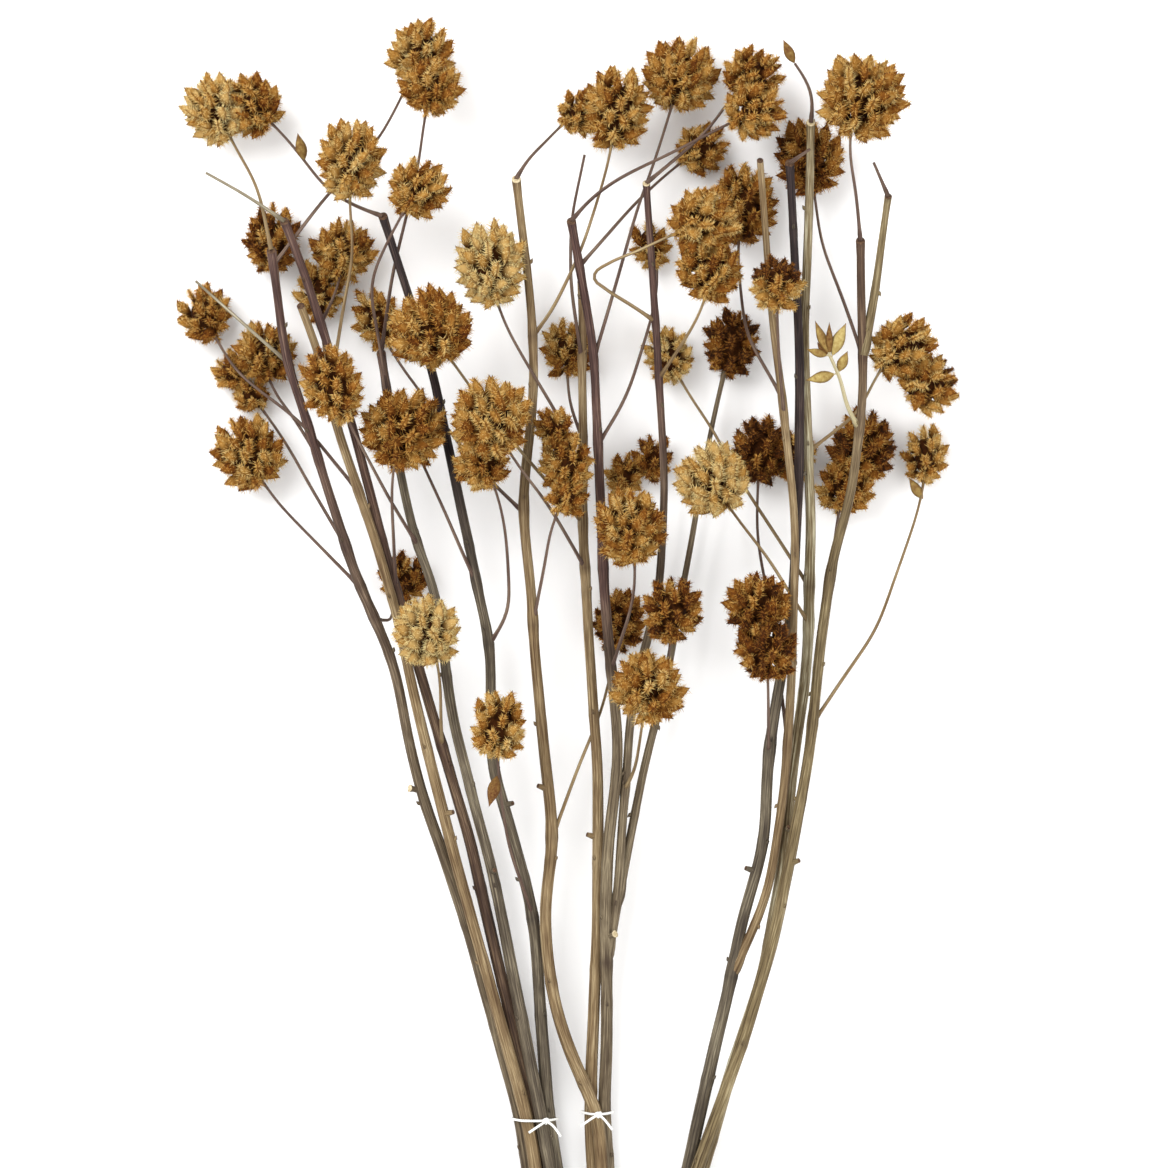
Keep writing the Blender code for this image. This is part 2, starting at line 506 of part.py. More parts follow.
class Settler:
    """Moves a sheaf's particles, a little at a time, until no two capsules of it cross."""

    ROUNDS = 520
    QUIET_ROUNDS = 160     # at the end nothing pulls any more, so that what still crosses is cleared
    PLAN_SHARE = 0.45      # how readily a crossing is cleared sideways rather than in height
    LEAST_GAIN = 0.05      # keeps a push across a nearly flat crossing from growing without end
    OVERSTEP = 1.15        # each round moves a little further than the mean push
    LEAST_WEIGHT = 0.75
    SMOOTHING = 0.5
    EASED = 0.7            # how much of the pull towards the plan is gone by the last round
    SEARCH_EVERY = 8
    SEARCH_MARGIN = 8.0

    def __init__(self, sheaf):
        self.sheaf = sheaf
        self.places = np.array(sheaf.places, float)
        self.targets = self.places.copy()
        self.hold = np.array(sheaf.hold)[:, [0, 0, 1]]
        rods = sheaf.capsules
        self.first = np.array([r[0] for r in rods])
        self.last = np.array([r[1] for r in rods])
        self.share = np.array([[r[2], r[3]] for r in rods])
        self.radii = np.array([[r[4], r[5]] for r in rods])
        owners = sorted({r[6] for r in rods})
        self.owner = np.array([owners.index(r[6]) for r in rods])
        self.is_head = np.array([r[6].startswith("head") for r in rods])
        self.bends = np.array(sheaf.bends)
        self.sticks = np.array([s[:2] for s in sheaf.sticks.values()])
        self.stick_length = np.array([s[2] for s in sheaf.sticks.values()])
        self.bonds = np.array([b[:4] for b in sheaf.bonds])
        self.bond_reach = np.array([b[4] for b in sheaf.bonds])
        self.lowest = self.floor_heights()
        self.pairs = self.candidates = self.possible_pairs()

    def floor_heights(self):
        """How low each particle may lie."""
        low = np.zeros(len(self.places))
        for first, last, _, _, r0, r1, owner in self.sheaf.capsules:
            if owner.startswith("head"):
                low[last] = max(low[last], r1 - FLOOR_SINK)
                low[first] = max(low[first], TWIG_TIP_RADIUS)
            else:
                low[first] = max(low[first], r0 * FLAT_SIDE)
                low[last] = max(low[last], r1 * FLAT_SIDE)
        return low

    def possible_pairs(self):
        """Every pair of capsules that is kept apart: not neighbours on a line, nor two heads of one node."""
        i, j = np.triu_indices(len(self.first), 1)
        shared = (self.first[i] == self.first[j]) | (self.first[i] == self.last[j])
        shared |= (self.last[i] == self.first[j]) | (self.last[i] == self.last[j])
        fused = (self.owner[i] == self.owner[j]) & self.is_head[i]
        keep = ~shared & ~fused
        return i[keep], j[keep]

    def ends(self):
        """Each capsule's two end points."""
        a, b = self.places[self.first], self.places[self.last]
        return a + (b - a) * self.share[:, :1], a + (b - a) * self.share[:, 1:]

    def search(self):
        """Picks the pairs that are near enough to touch soon."""
        start, end = self.ends()
        middle = (start + end) / 2
        reach = np.linalg.norm(end - start, axis=1) / 2 + self.radii.max(1)
        i, j = self.candidates
        apart = np.linalg.norm(middle[i] - middle[j], axis=1)
        near = apart < reach[i] + reach[j] + self.SEARCH_MARGIN
        self.pairs = i[near], j[near]

    def contacts(self):
        """The crossing pairs: how deep each is, which way it parts, and where along both capsules."""
        i, j = self.pairs
        start, end = self.ends()
        d = end - start
        s, t = nearest_shares(start[i], d[i], start[j], d[j])
        between = start[i] + d[i] * s[:, None] - start[j] - d[j] * t[:, None]
        apart = np.linalg.norm(between, axis=1)
        need = (self.radii[i, 0] + (self.radii[i, 1] - self.radii[i, 0]) * s
                + self.radii[j, 0] + (self.radii[j, 1] - self.radii[j, 0]) * t + CLEARANCE)
        hit = apart < need
        way = between[hit] / np.maximum(apart[hit], 1e-6)[:, None]
        return i[hit], j[hit], s[hit], t[hit], (need - apart)[hit], way

    def part(self):
        """Pushes crossing capsules apart, mostly in height, each particle by the mean of its pushes."""
        i, j, s, t, depth, way = self.contacts()
        if not len(i):
            return 0.0
        push = way * [self.PLAN_SHARE, self.PLAN_SHARE, 1.0]
        gain = (push * way).sum(1)
        step = push * (depth / np.maximum(gain, self.LEAST_GAIN))[:, None] / 2
        moved = np.zeros_like(self.places)
        weight = np.zeros(len(self.places))
        for rods, share, sign in ((i, s, 1.0), (j, t, -1.0)):
            along = self.share[rods, 0] + share * (self.share[rods, 1] - self.share[rods, 0])
            for ends, w in ((self.first[rods], 1 - along), (self.last[rods], along)):
                np.add.at(moved, ends, step * (sign * w)[:, None])
                np.add.at(weight, ends, w * w)
        self.places += self.OVERSTEP * moved / np.maximum(weight, self.LEAST_WEIGHT)[:, None]
        return float(depth.max())

    def smooth(self, strength):
        """Draws each bend's change from the plan towards the mean of its neighbours' changes."""
        a, b, c = self.bends.T
        change = self.places - self.targets
        pull = (change[a] + change[c]) / 2 - change[b]
        total = np.zeros_like(self.places)
        count = np.zeros(len(self.places))
        np.add.at(total, b, pull)
        np.add.at(count, b, 1.0)
        self.places += strength * total / np.maximum(count, 1.0)[:, None]

    def keep_bonds(self):
        """Draws two heads that are grown into each other together where they have drifted apart."""
        tail_a, apex_a, tail_b, apex_b = self.bonds.T
        d = self.places[apex_b] - self.places[apex_a]
        spare = np.maximum(np.linalg.norm(d, axis=1) - self.bond_reach, 0.0)
        shift = unit(d) * (spare / 2)[:, None]
        for ends, sign in ((tail_a, 1), (apex_a, 1), (tail_b, -1), (apex_b, -1)):
            np.add.at(self.places, ends, sign * shift)

    def keep_sticks(self):
        """Keeps each head's stick at its length and nothing below the floor."""
        a, b = self.sticks.T
        d = self.places[b] - self.places[a]
        spare = np.linalg.norm(d, axis=1) - self.stick_length
        shift = unit(d) * (spare / 2)[:, None]
        self.places[a] += shift
        self.places[b] -= shift
        self.places[:, 2] = np.maximum(self.places[:, 2], self.lowest)

    def settle(self):
        """Runs all rounds and returns how deep the deepest crossing still is, in millimetres."""
        deepest = 0.0
        for k in range(self.ROUNDS):
            if k % self.SEARCH_EVERY == 0:
                self.search()
            pulling = k < self.ROUNDS - self.QUIET_ROUNDS
            if pulling:
                ease = 1.0 - self.EASED * k / self.ROUNDS
                self.places += ease * self.hold * (self.targets - self.places)
                self.smooth(self.SMOOTHING * ease)
            deepest = self.part()
            self.keep_bonds()
            self.keep_sticks()
        return deepest


def clear_scene():
    """Removes every object of the scene."""
    for obj in list(bpy.data.objects):
        bpy.data.objects.remove(obj, do_unlink=True)


def new_collection(name):
    """A collection in the scene."""
    collection = bpy.data.collections.new(name)
    bpy.context.scene.collection.children.link(collection)
    return collection


def material(look):
    """The Principled material of a look, made once."""
    name, colour, roughness = look
    found = bpy.data.materials.get(name)
    if found:
        return found
    found = bpy.data.materials.new(name)
    found.use_nodes = True
    shader = found.node_tree.nodes["Principled BSDF"]
    shader.inputs["Base Color"].default_value = (*colour, 1.0)
    shader.inputs["Roughness"].default_value = roughness
    shader.inputs["Metallic"].default_value = 0.0
    return found


def mesh_object(name, mesh, collection):
    """An object of this mesh in this collection."""
    obj = bpy.data.objects.new(name, mesh)
    collection.objects.link(obj)
    return obj


def tube(name, points, radii, collection, resolution, cyclic=False):
    """A tube along the points as a closed mesh: a bevelled curve with filled caps, its caps welded."""
    curve = bpy.data.curves.new(name, "CURVE")
    curve.dimensions = "3D"
    curve.bevel_depth = MM
    curve.bevel_resolution = resolution
    curve.use_fill_caps = not cyclic
    spline = curve.splines.new("POLY")
    spline.points.add(len(points) - 1)
    for point, place, radius in zip(spline.points, points, radii):
        point.co = (*(Vector(place) * MM), 1.0)
        point.radius = radius
    spline.use_cyclic_u = cyclic
    holder = mesh_object(name, curve, collection)
    graph = bpy.context.evaluated_depsgraph_get()
    mesh = bpy.data.meshes.new_from_object(holder.evaluated_get(graph))
    bpy.data.objects.remove(holder, do_unlink=True)
    bpy.data.curves.remove(curve)
    shape = bmesh.new()
    shape.from_mesh(mesh)
    bmesh.ops.remove_doubles(shape, verts=shape.verts, dist=1e-6)
    bmesh.ops.recalc_face_normals(shape, faces=shape.faces)
    shape.to_mesh(mesh)
    shape.free()
    return mesh_object(name, mesh, collection)


def flat_cut(shape, point, normal):
    """Cuts away what lies beyond a plane and closes the cut."""
    geometry = list(shape.verts) + list(shape.edges) + list(shape.faces)
    bmesh.ops.bisect_plane(shape, geom=geometry, plane_co=point, plane_no=normal, clear_outer=True)
    rim = [edge for edge in shape.edges if edge.is_boundary]
    if rim:
        bmesh.ops.edgeloop_fill(shape, edges=rim)


def spiny_head(name, head, base, way, collection, seed):
    """A head as one closed spiny body.

    Pod tips stand in a golden-angle spiral on a sphere. Their convex hull is poked, which sets a valley
    point in each facet, and each hull edge is turned to join two valleys, so that every tip rises alone.
    """
    rng = np.random.default_rng(seed)
    radius = head.width / 2
    spare = max(0.0, head.length - head.width)
    count = int(np.clip(round(head.width * PODS_PER_MM), FEWEST_PODS, MOST_PODS))
    k = np.arange(count)
    up = -1.0 + 2.0 * k / (count - 1)
    ring = np.sqrt(np.maximum(0.0, 1.0 - up * up))
    turn = GOLDEN_ANGLE * k + rng.uniform(0, math.tau)
    tips = np.stack([ring * np.cos(turn), ring * np.sin(turn), up], 1)
    shape = bmesh.new()
    points = [shape.verts.new(tip) for tip in tips]
    bmesh.ops.convex_hull(shape, input=points)
    edges = list(shape.edges)
    valleys = bmesh.ops.poke(shape, faces=list(shape.faces))["verts"]
    bmesh.ops.rotate_edges(shape, edges=edges, use_ccw=False)
    for vert in valleys:
        vert.co = vert.co.normalized() * VALLEY
    for vert, reach in zip(points, rng.uniform(SHORTEST_POD, 1.0, count)):
        lean = POD_LEAN * (1.0 - vert.co.z ** 2)
        vert.co = (vert.co + Vector((0, 0, lean))).normalized() * reach
    for vert in shape.verts:
        vert.co *= radius
        vert.co.z += spare * (0.5 + 0.5 * vert.co.z / radius)
    flat_cut(shape, (0, 0, -BASE_CUT * radius), (0, 0, -1))
    turn_to = Vector((0, 0, 1)).rotation_difference(Vector(way)).to_matrix().to_4x4()
    middle = Vector(base) + Vector(way) * (BASE_CUT * radius)
    bmesh.ops.transform(shape, matrix=Matrix.Scale(MM, 4) @ Matrix.Translation(middle) @ turn_to,
                        verts=shape.verts)
    if min(vert.co.z for vert in shape.verts) < 0:
        flat_cut(shape, (0, 0, 0), (0, 0, -1))
    bmesh.ops.recalc_face_normals(shape, faces=shape.faces)
    mesh = bpy.data.meshes.new(name)
    shape.to_mesh(mesh)
    shape.free()
    return mesh_object(name, mesh, collection)


def pod(name, place, way, length, radius, collection):
    """A single smooth pod, pointed at both ends."""
    shape = bmesh.new()
    bmesh.ops.create_icosphere(shape, subdivisions=1, radius=1.0)
    turn_to = Vector((0, 0, 1)).rotation_difference(Vector(way).normalized()).to_matrix().to_4x4()
    size = Matrix.Diagonal((radius, radius * POD_THICKNESS, length / 2, 1.0))
    matrix = Matrix.Scale(MM, 4) @ Matrix.Translation(Vector(place)) @ turn_to @ size
    bmesh.ops.transform(shape, matrix=matrix, verts=shape.verts)
    mesh = bpy.data.meshes.new(name)
    shape.to_mesh(mesh)
    shape.free()
    return mesh_object(name, mesh, collection)


def join_all(pieces, name, collection, look):
    """One object from overlapping closed pieces: a Boolean union with a collection of all but the first."""
    first, others = pieces[0], pieces[1:]
    if others:
        tools = new_collection(name + "_pieces")
        for piece in others:
            for holder in list(piece.users_collection):
                holder.objects.unlink(piece)
            tools.objects.link(piece)
        union = first.modifiers.new("union", "BOOLEAN")
        union.operation = "UNION"
        union.operand_type = "COLLECTION"
        union.collection = tools
        union.solver = "EXACT"
        graph = bpy.context.evaluated_depsgraph_get()
        mesh = bpy.data.meshes.new_from_object(first.evaluated_get(graph))
        first.modifiers.clear()
        first.data = mesh
        for piece in others:
            bpy.data.objects.remove(piece, do_unlink=True)
        bpy.data.collections.remove(tools)
    first.name = first.data.name = name
    first.data.materials.clear()
    first.data.materials.append(material(look))
    for holder in list(first.users_collection):
        holder.objects.unlink(first)
    collection.objects.link(first)


def line_pieces(places, line, nodes, collection):
    """The tube of a line, thicker at its nodes, with a stalk that ends just below its head."""
    points = [places[i] for i in line.particles]
    radii = [r * (NODE_SWELL if i in nodes else 1.0) for i, r in zip(line.particles, line.radii)]
    if line.head:
        base, way = head_base(places, line.head)
        points.append(np.array(base) - np.array(way) * GAP)
        radii.append(TWIG_TIP_RADIUS)
    is_stem = not line.grows_from
    return tube(line.name, points, radii, collection, 1 if is_stem else 0)


def head_base(places, name):
    """The centre of a head's flat base and the way from it to the apex, from the head's settled stick."""
    tail, apex, _ = SHEAF.sticks[name]
    way = unit(places[apex] - places[tail])
    return places[tail] + way * STALK_LENGTH, way


def line_point(places, name, y):
    """The settled point of a line at this Y."""
    points = places[SHEAF.lines[name].particles]
    order = np.argsort(points[:, 1])
    return np.array([np.interp(y, points[order, 1], points[order, k]) for k in range(3)])


def stem_node(places, stem, scratch, collection):
    """A stem with its limbs, twigs, stubs and loose pods as one body."""
    lines = [line for line in SHEAF.lines.values() if line.owner == stem.name]
    nodes = {line.particles[0] for line in SHEAF.lines.values() if line.grows_from}
    pieces = [line_pieces(places, line, nodes, scratch) for line in lines]
    for owner, y, way in STUBS:
        if owner == stem.name:
            root = line_point(places, owner, y)
            points = [root, root + unit(np.array(way)) * STUB_LENGTH]
            pieces.append(tube("stub", points, [STUB_RADIUS, STUB_RADIUS * STUB_TAPER], scratch, 0))
    for owner, spot, way in LOOSE_PODS:
        if owner == stem.name:
            pieces.append(loose_pod(places, lines, spot, way, scratch))
    join_all(pieces, f"stem_{stem.name}", collection, stem.bark)


def loose_pod(places, lines, near, plan_way, scratch):
    """A pod left on a bare branch, its lower end sunk into the nearest twig."""
    twigs = [places[line.particles] for line in lines if line.grows_from]
    spots = np.concatenate(twigs + [(points[1:] + points[:-1]) / 2 for points in twigs])
    root = spots[np.argmin(np.hypot(spots[:, 0] - near[0], spots[:, 1] - near[1]))]
    way = unit(np.array([*plan_way, POD_RISE]))
    return pod("loose_pod", root + way * POD_LENGTH * POD_OUT, way, POD_LENGTH, POD_RADIUS, scratch)


def unripe_shoot(places, scratch, collection):
    """The young side shoot with its smooth pods, standing just clear of the stem that bears it."""
    line = next(line for line in SHEAF.lines.values() if line.owner == "unripe_shoot")
    points = places[line.particles]
    parent = SHEAF.lines[line.grows_from]
    at = parent.particles.index(line.particles[0])
    grain = unit(places[parent.particles[at + 1]] - places[parent.particles[at - 1]])
    step = points[1] - points[0]
    sideways = np.linalg.norm(step - grain * (step @ grain))
    slant = abs(step @ grain) / np.linalg.norm(step)
    clear = parent.radii[at] * NODE_SWELL * (1 + FLAT_SIDE) / 2 + line.radii[0] * slant + GAP
    start = points[0] + step * clear / sideways
    pieces = [tube("shoot", [start, *points[1:]], line.radii, scratch, 0)]
    bearing = points[UNRIPE_FIRST:]
    for x, y in UNRIPE_PODS:
        spot = bearing[np.argmin(np.hypot(bearing[:, 0] - x, bearing[:, 1] - y))]
        way = unit(np.array([x - spot[0], y - spot[1], UNRIPE_RISE * (1 + x % 3)]))
        pieces.append(pod("unripe", spot + way * UNRIPE_OUT, way, UNRIPE_LENGTH, UNRIPE_RADIUS, scratch))
    join_all(pieces, "unripe_shoot", collection, UNRIPE)


def string_tie(places, name, stems, y, knot_angle, scratch, collection):
    """A loop of string drawn round the stems at this Y, with a knot and two tails, as one body."""
    centres = np.array([line_point(places, stem, y) for stem in stems])
    radii = np.array([np.interp(-y, -places[SHEAF.lines[s].particles][:, 1], SHEAF.lines[s].radii)
                      for s in stems])
    angles = np.arange(STRING_TURNS) * math.tau / STRING_TURNS
    ways = np.stack([np.cos(angles), np.zeros_like(angles), np.sin(angles)], 1)
    outer = (ways @ centres.T + radii).argmax(1)
    offset = (radii[outer] + STRING_RADIUS + STRING_CLEARANCE)[:, None]
    loop = centres[outer] * [1, 0, 1] + [0, y, 0] + ways * offset
    pieces = [tube("loop", loop, [STRING_RADIUS] * len(loop), scratch, 0, cyclic=True)]
    spot = loop[int(round(knot_angle / math.tau * STRING_TURNS)) % STRING_TURNS]
    out = np.array([math.cos(knot_angle), 0.0, math.sin(knot_angle)])
    spot = spot + out * (KNOT_RADIUS - STRING_RADIUS)
    pieces.append(pod("knot", spot, (0, 1, 0.2), KNOT_RADIUS * 2, KNOT_RADIUS, scratch))
    for side, drop in TAIL_SHARES:
        share = np.array([side, drop, 1.0])
        bend = spot + share * TAIL_BEND + out * TAIL_LIFT[0]
        end = spot + share * TAIL_END + out * TAIL_LIFT[1]
        pieces.append(tube("tail", [spot, bend, end], [STRING_RADIUS] * 3, scratch, 0))
    join_all(pieces, name, collection, STRING)


def build(places):
    """Every node of the sheaf, from the settled places."""
    collection = new_collection("glycyrrhiza_sheaf")
    scratch = new_collection("scratch")
    for stem in STEMS:
        stem_node(places, stem, scratch, collection)
    unripe_shoot(places, scratch, collection)
    by_node = {}
    for seed, (name, head) in enumerate(HEADS.items()):
        base, way = head_base(places, name)
        by_node.setdefault(head.node, []).append(
            (head, spiny_head(f"head_{name}", head, base, way, scratch, seed)))
    for node, members in by_node.items():
        look = PALE_PODS if members[0][0].pale else PODS
        join_all([piece for _, piece in members], node, collection, look)
    for bundle, knot_angle in KNOT_ANGLES.items():
        stems = [stem for stem in STEMS if stem.name.startswith(bundle)]
        string_tie(places, f"string_{bundle}", [stem.name for stem in stems], stems[0].tie[1], knot_angle,
                   scratch, collection)
    bpy.data.collections.remove(scratch)


SHEAF = lay_out()
SETTLER = Settler(SHEAF)


def main():
    """Settles the sheaf and builds it."""
    deepest = SETTLER.settle()
    print(f"deepest crossing left: {deepest:.3f} mm")
    clear_scene()
    build(SETTLER.places)


main()
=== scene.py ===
"""Looks for a dried glycyrrhiza sheaf: three tied bundles of branching stems with bristly seed heads.

The plan and the settling repeat the part's source, so that every stem and head lies where its solid does.
Lengths are in millimetres until a mesh is made.
"""

import json
import logging
import math
from dataclasses import dataclass, field
from enum import Enum
from functools import lru_cache
from typing import Optional, Union

import bpy
import numpy as np
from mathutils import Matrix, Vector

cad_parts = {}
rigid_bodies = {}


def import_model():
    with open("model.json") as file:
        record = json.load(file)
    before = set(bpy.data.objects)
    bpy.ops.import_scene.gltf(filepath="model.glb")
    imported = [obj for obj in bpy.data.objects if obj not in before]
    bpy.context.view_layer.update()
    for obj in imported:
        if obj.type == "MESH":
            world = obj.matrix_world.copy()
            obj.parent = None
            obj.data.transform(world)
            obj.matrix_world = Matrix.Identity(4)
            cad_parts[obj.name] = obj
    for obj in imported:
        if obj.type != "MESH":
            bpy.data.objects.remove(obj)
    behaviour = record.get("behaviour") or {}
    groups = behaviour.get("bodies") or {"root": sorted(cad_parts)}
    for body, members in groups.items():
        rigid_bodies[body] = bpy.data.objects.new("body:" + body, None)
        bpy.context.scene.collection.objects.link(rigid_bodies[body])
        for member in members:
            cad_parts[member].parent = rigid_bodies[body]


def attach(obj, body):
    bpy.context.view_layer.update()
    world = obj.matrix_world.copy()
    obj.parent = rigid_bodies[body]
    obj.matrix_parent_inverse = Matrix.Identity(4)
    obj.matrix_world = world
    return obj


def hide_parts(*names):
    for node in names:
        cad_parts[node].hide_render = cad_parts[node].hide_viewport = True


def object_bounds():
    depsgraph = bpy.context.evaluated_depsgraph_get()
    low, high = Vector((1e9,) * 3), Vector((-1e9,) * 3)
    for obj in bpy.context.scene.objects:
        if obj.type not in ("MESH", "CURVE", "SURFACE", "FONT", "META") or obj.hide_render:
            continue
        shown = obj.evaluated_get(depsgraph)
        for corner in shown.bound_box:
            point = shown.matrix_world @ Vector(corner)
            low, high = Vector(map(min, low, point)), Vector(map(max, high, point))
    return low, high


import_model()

Array = np.ndarray
Draws = np.random.Generator
LOG = logging.getLogger("sheaf")
CAD_BOX = np.array([list(corner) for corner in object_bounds()])
BODY = "root"

MM = 0.001
TINY = 1e-9  # keeps a division by a length of nothing from failing
BOX_MARGIN = 0.2  # how far every piece stays inside the solids' box, mm
CLEARANCE = 0.7  # between the lines' surfaces while they settle, mm
FLAT_SIDE = 0.86  # how near a solid stem's flat side is to its middle, in radii
STEM_BUTT_RADIUS = 3.9
STEM_TOP_RADIUS = 2.4
LIMB_BASE_RADIUS = 2.9
LIMB_TOP_RADIUS = 2.0
TWIG_BASE_RADIUS = 1.4
TWIG_TIP_RADIUS = 1.0
BUTT_SPREAD = 1.25  # a stem reaches its full thickness at one over this of its length
LONGEST_STEM_STEP = 46.0
LONGEST_TWIG_STEP = 36.0
SAME_PLACE = 4.0  # a branch leaves an existing point of its stem that is nearer than this in Y
LIMB_RISE = 1.6  # a limb reaches its end height at one over this of its length
STALK_LENGTH = 11.0  # the straight end of a branch below its head
BASE_CUT = 0.72  # where a head's base lies, in head radii below its lower centre
FLOOR_SINK = 2.2  # how far a head on the floor is pressed flat, mm
FUSED_REACH = 0.69  # the furthest that two heads grown into each other stand apart, in summed radii
LINE_UP_HEIGHT = 120.0  # a stem rises evenly from its tie up to this Y
GOLDEN_ANGLE = math.pi * (3.0 - math.sqrt(5.0))

# How firmly a particle is drawn to where the plan has it: in plan, and in height.
TIED_HOLD = (0.8, 0.8)
STEM_HOLD = (0.10, 0.03)
LIMB_HOLD = (0.08, 0.02)
TWIG_HOLD = (0.04, 0.02)
APEX_HOLD = (0.14, 0.05)

# Heights for heads: on the floor, and over everything else.
UNDER = 0.0
OVER = 84.0


@dataclass(frozen=True)
class Stem:
    """A main stem: its plan from the cut top down to the tie, its tie and butt, and its top's height."""

    name: str
    route: list[tuple[float, float]]
    tie: tuple[float, float, float]
    butt: tuple[float, float, float]
    top_height: float


@dataclass(frozen=True)
class Branch:
    """What grows from a stem or limb at a height along the sheaf, to a head or an end."""

    parent: str
    start: float
    route: list[tuple[float, float]]
    head: str = ""
    end_height: float = 52.0
    limb: str = ""
    node: str = ""


@dataclass(frozen=True)
class Head:
    """A seed head: its plan, height, width, length, lean from +Y towards +X, and the node it is part of."""

    x: float
    y: float
    z: float
    width: float
    length: float
    lean: float
    node: str


STEMS = [
    Stem("left_1", [(-178, 264), (-173, 227), (-169, 197), (-160, 172), (-145, 123), (-128, 69), (-106, 19),
        (-97, -26), (-89, -61), (-77, -95), (-62, -140)], (-28.9, -261, 15.0), (-9, -405, 3.4), 50),
    Stem("left_2", [(-160, 230), (-148, 198), (-137, 152), (-118, 99), (-103, 47), (-91, -10), (-78, -63),
        (-66, -110)], (-24.6, -261, 22.4), (-3, -396, 10.8), 57),
    Stem("left_3", [(-170, 281), (-158, 250), (-143, 204), (-127, 150), (-107, 72), (-89, 10), (-76, -34),
        (-59, -92), (-49, -138)], (-20.4, -261, 15.0), (1.5, -414, 3.4), 52),
    Stem("left_4", [(-112, 202), (-101, 134), (-92, 92), (-79, 56), (-70, -14), (-58, -63), (-45, -112)],
        (-16.2, -261, 22.4), (8, -402, 10.8), 56),
    Stem("left_5", [(-111, 284), (-97, 241), (-81, 190), (-70, 136), (-58, 77), (-47, 28), (-46, -45),
        (-32, -94), (-21, -138)], (-11.9, -261, 15.0), (12, -410, 3.4), 52),
    Stem("middle_1", [(-31, 306), (-22, 230), (-20, 185), (-27, 107), (-22, 59), (-20, 23), (-13, -51),
        (-9, -88), (-14, -132), (-11, -174), (-2, -212)], (17.6, -257, 22.4), (28, -400, 10.8), 56),
    Stem("middle_2", [(8, 246), (9, 173), (9, 96), (13, 23), (18, -51), (18, -139), (15, -208)],
        (13.3, -257, 15.0), (22, -408, 3.4), 38),
    Stem("middle_3", [(2, 281), (15, 209), (19, 124), (22, 55), (31, -38), (25, -95), (24, -165),
        (24, -208)], (21.8, -257, 15.0), (33, -413, 3.4), 54),
    Stem("right_1", [(133, 316), (139, 203), (139, 130), (136, 47), (122, -38), (119, -95), (107, -139),
        (100, -174), (88, -222)], (70.8, -300, 13.0), (41.5, -411, 3.4), 52),
    Stem("right_3", [(146, 341), (145, 290), (142, 215), (146, 96), (143, 10), (135, -51), (129, -112),
        (118, -174), (100, -228)], (79.4, -300, 13.0), (52, -404, 3.4), 44),
    Stem("right_4", [(175, 269), (177, 178), (170, 120), (158, 76), (151, 23), (146, -32), (137, -85),
        (124, -150), (106, -212)], (75.1, -300, 20.4), (47, -395, 10.8), 58),
]

LIMBS = [
    Branch("middle_3", -165, [(29, -130), (33, -76), (38, -10), (55, 62), (58, 124), (54, 197), (51, 245),
        (47, 304)], end_height=50, limb="middle_3_limb"),
    Branch("middle_3_limb", -130, [(44, -55), (60, 10), (76, 99), (84, 150)], "37", limb="middle_3_side"),
    Branch("right_1", -174, [(121, -120), (130, -60), (133, -6), (135, 102), (128, 175), (122, 223),
        (115, 317)], end_height=58, limb="right_1_limb"),
    Branch("right_4", 200, [(183, 232), (192, 296)], end_height=52, limb="right_4_limb"),
]

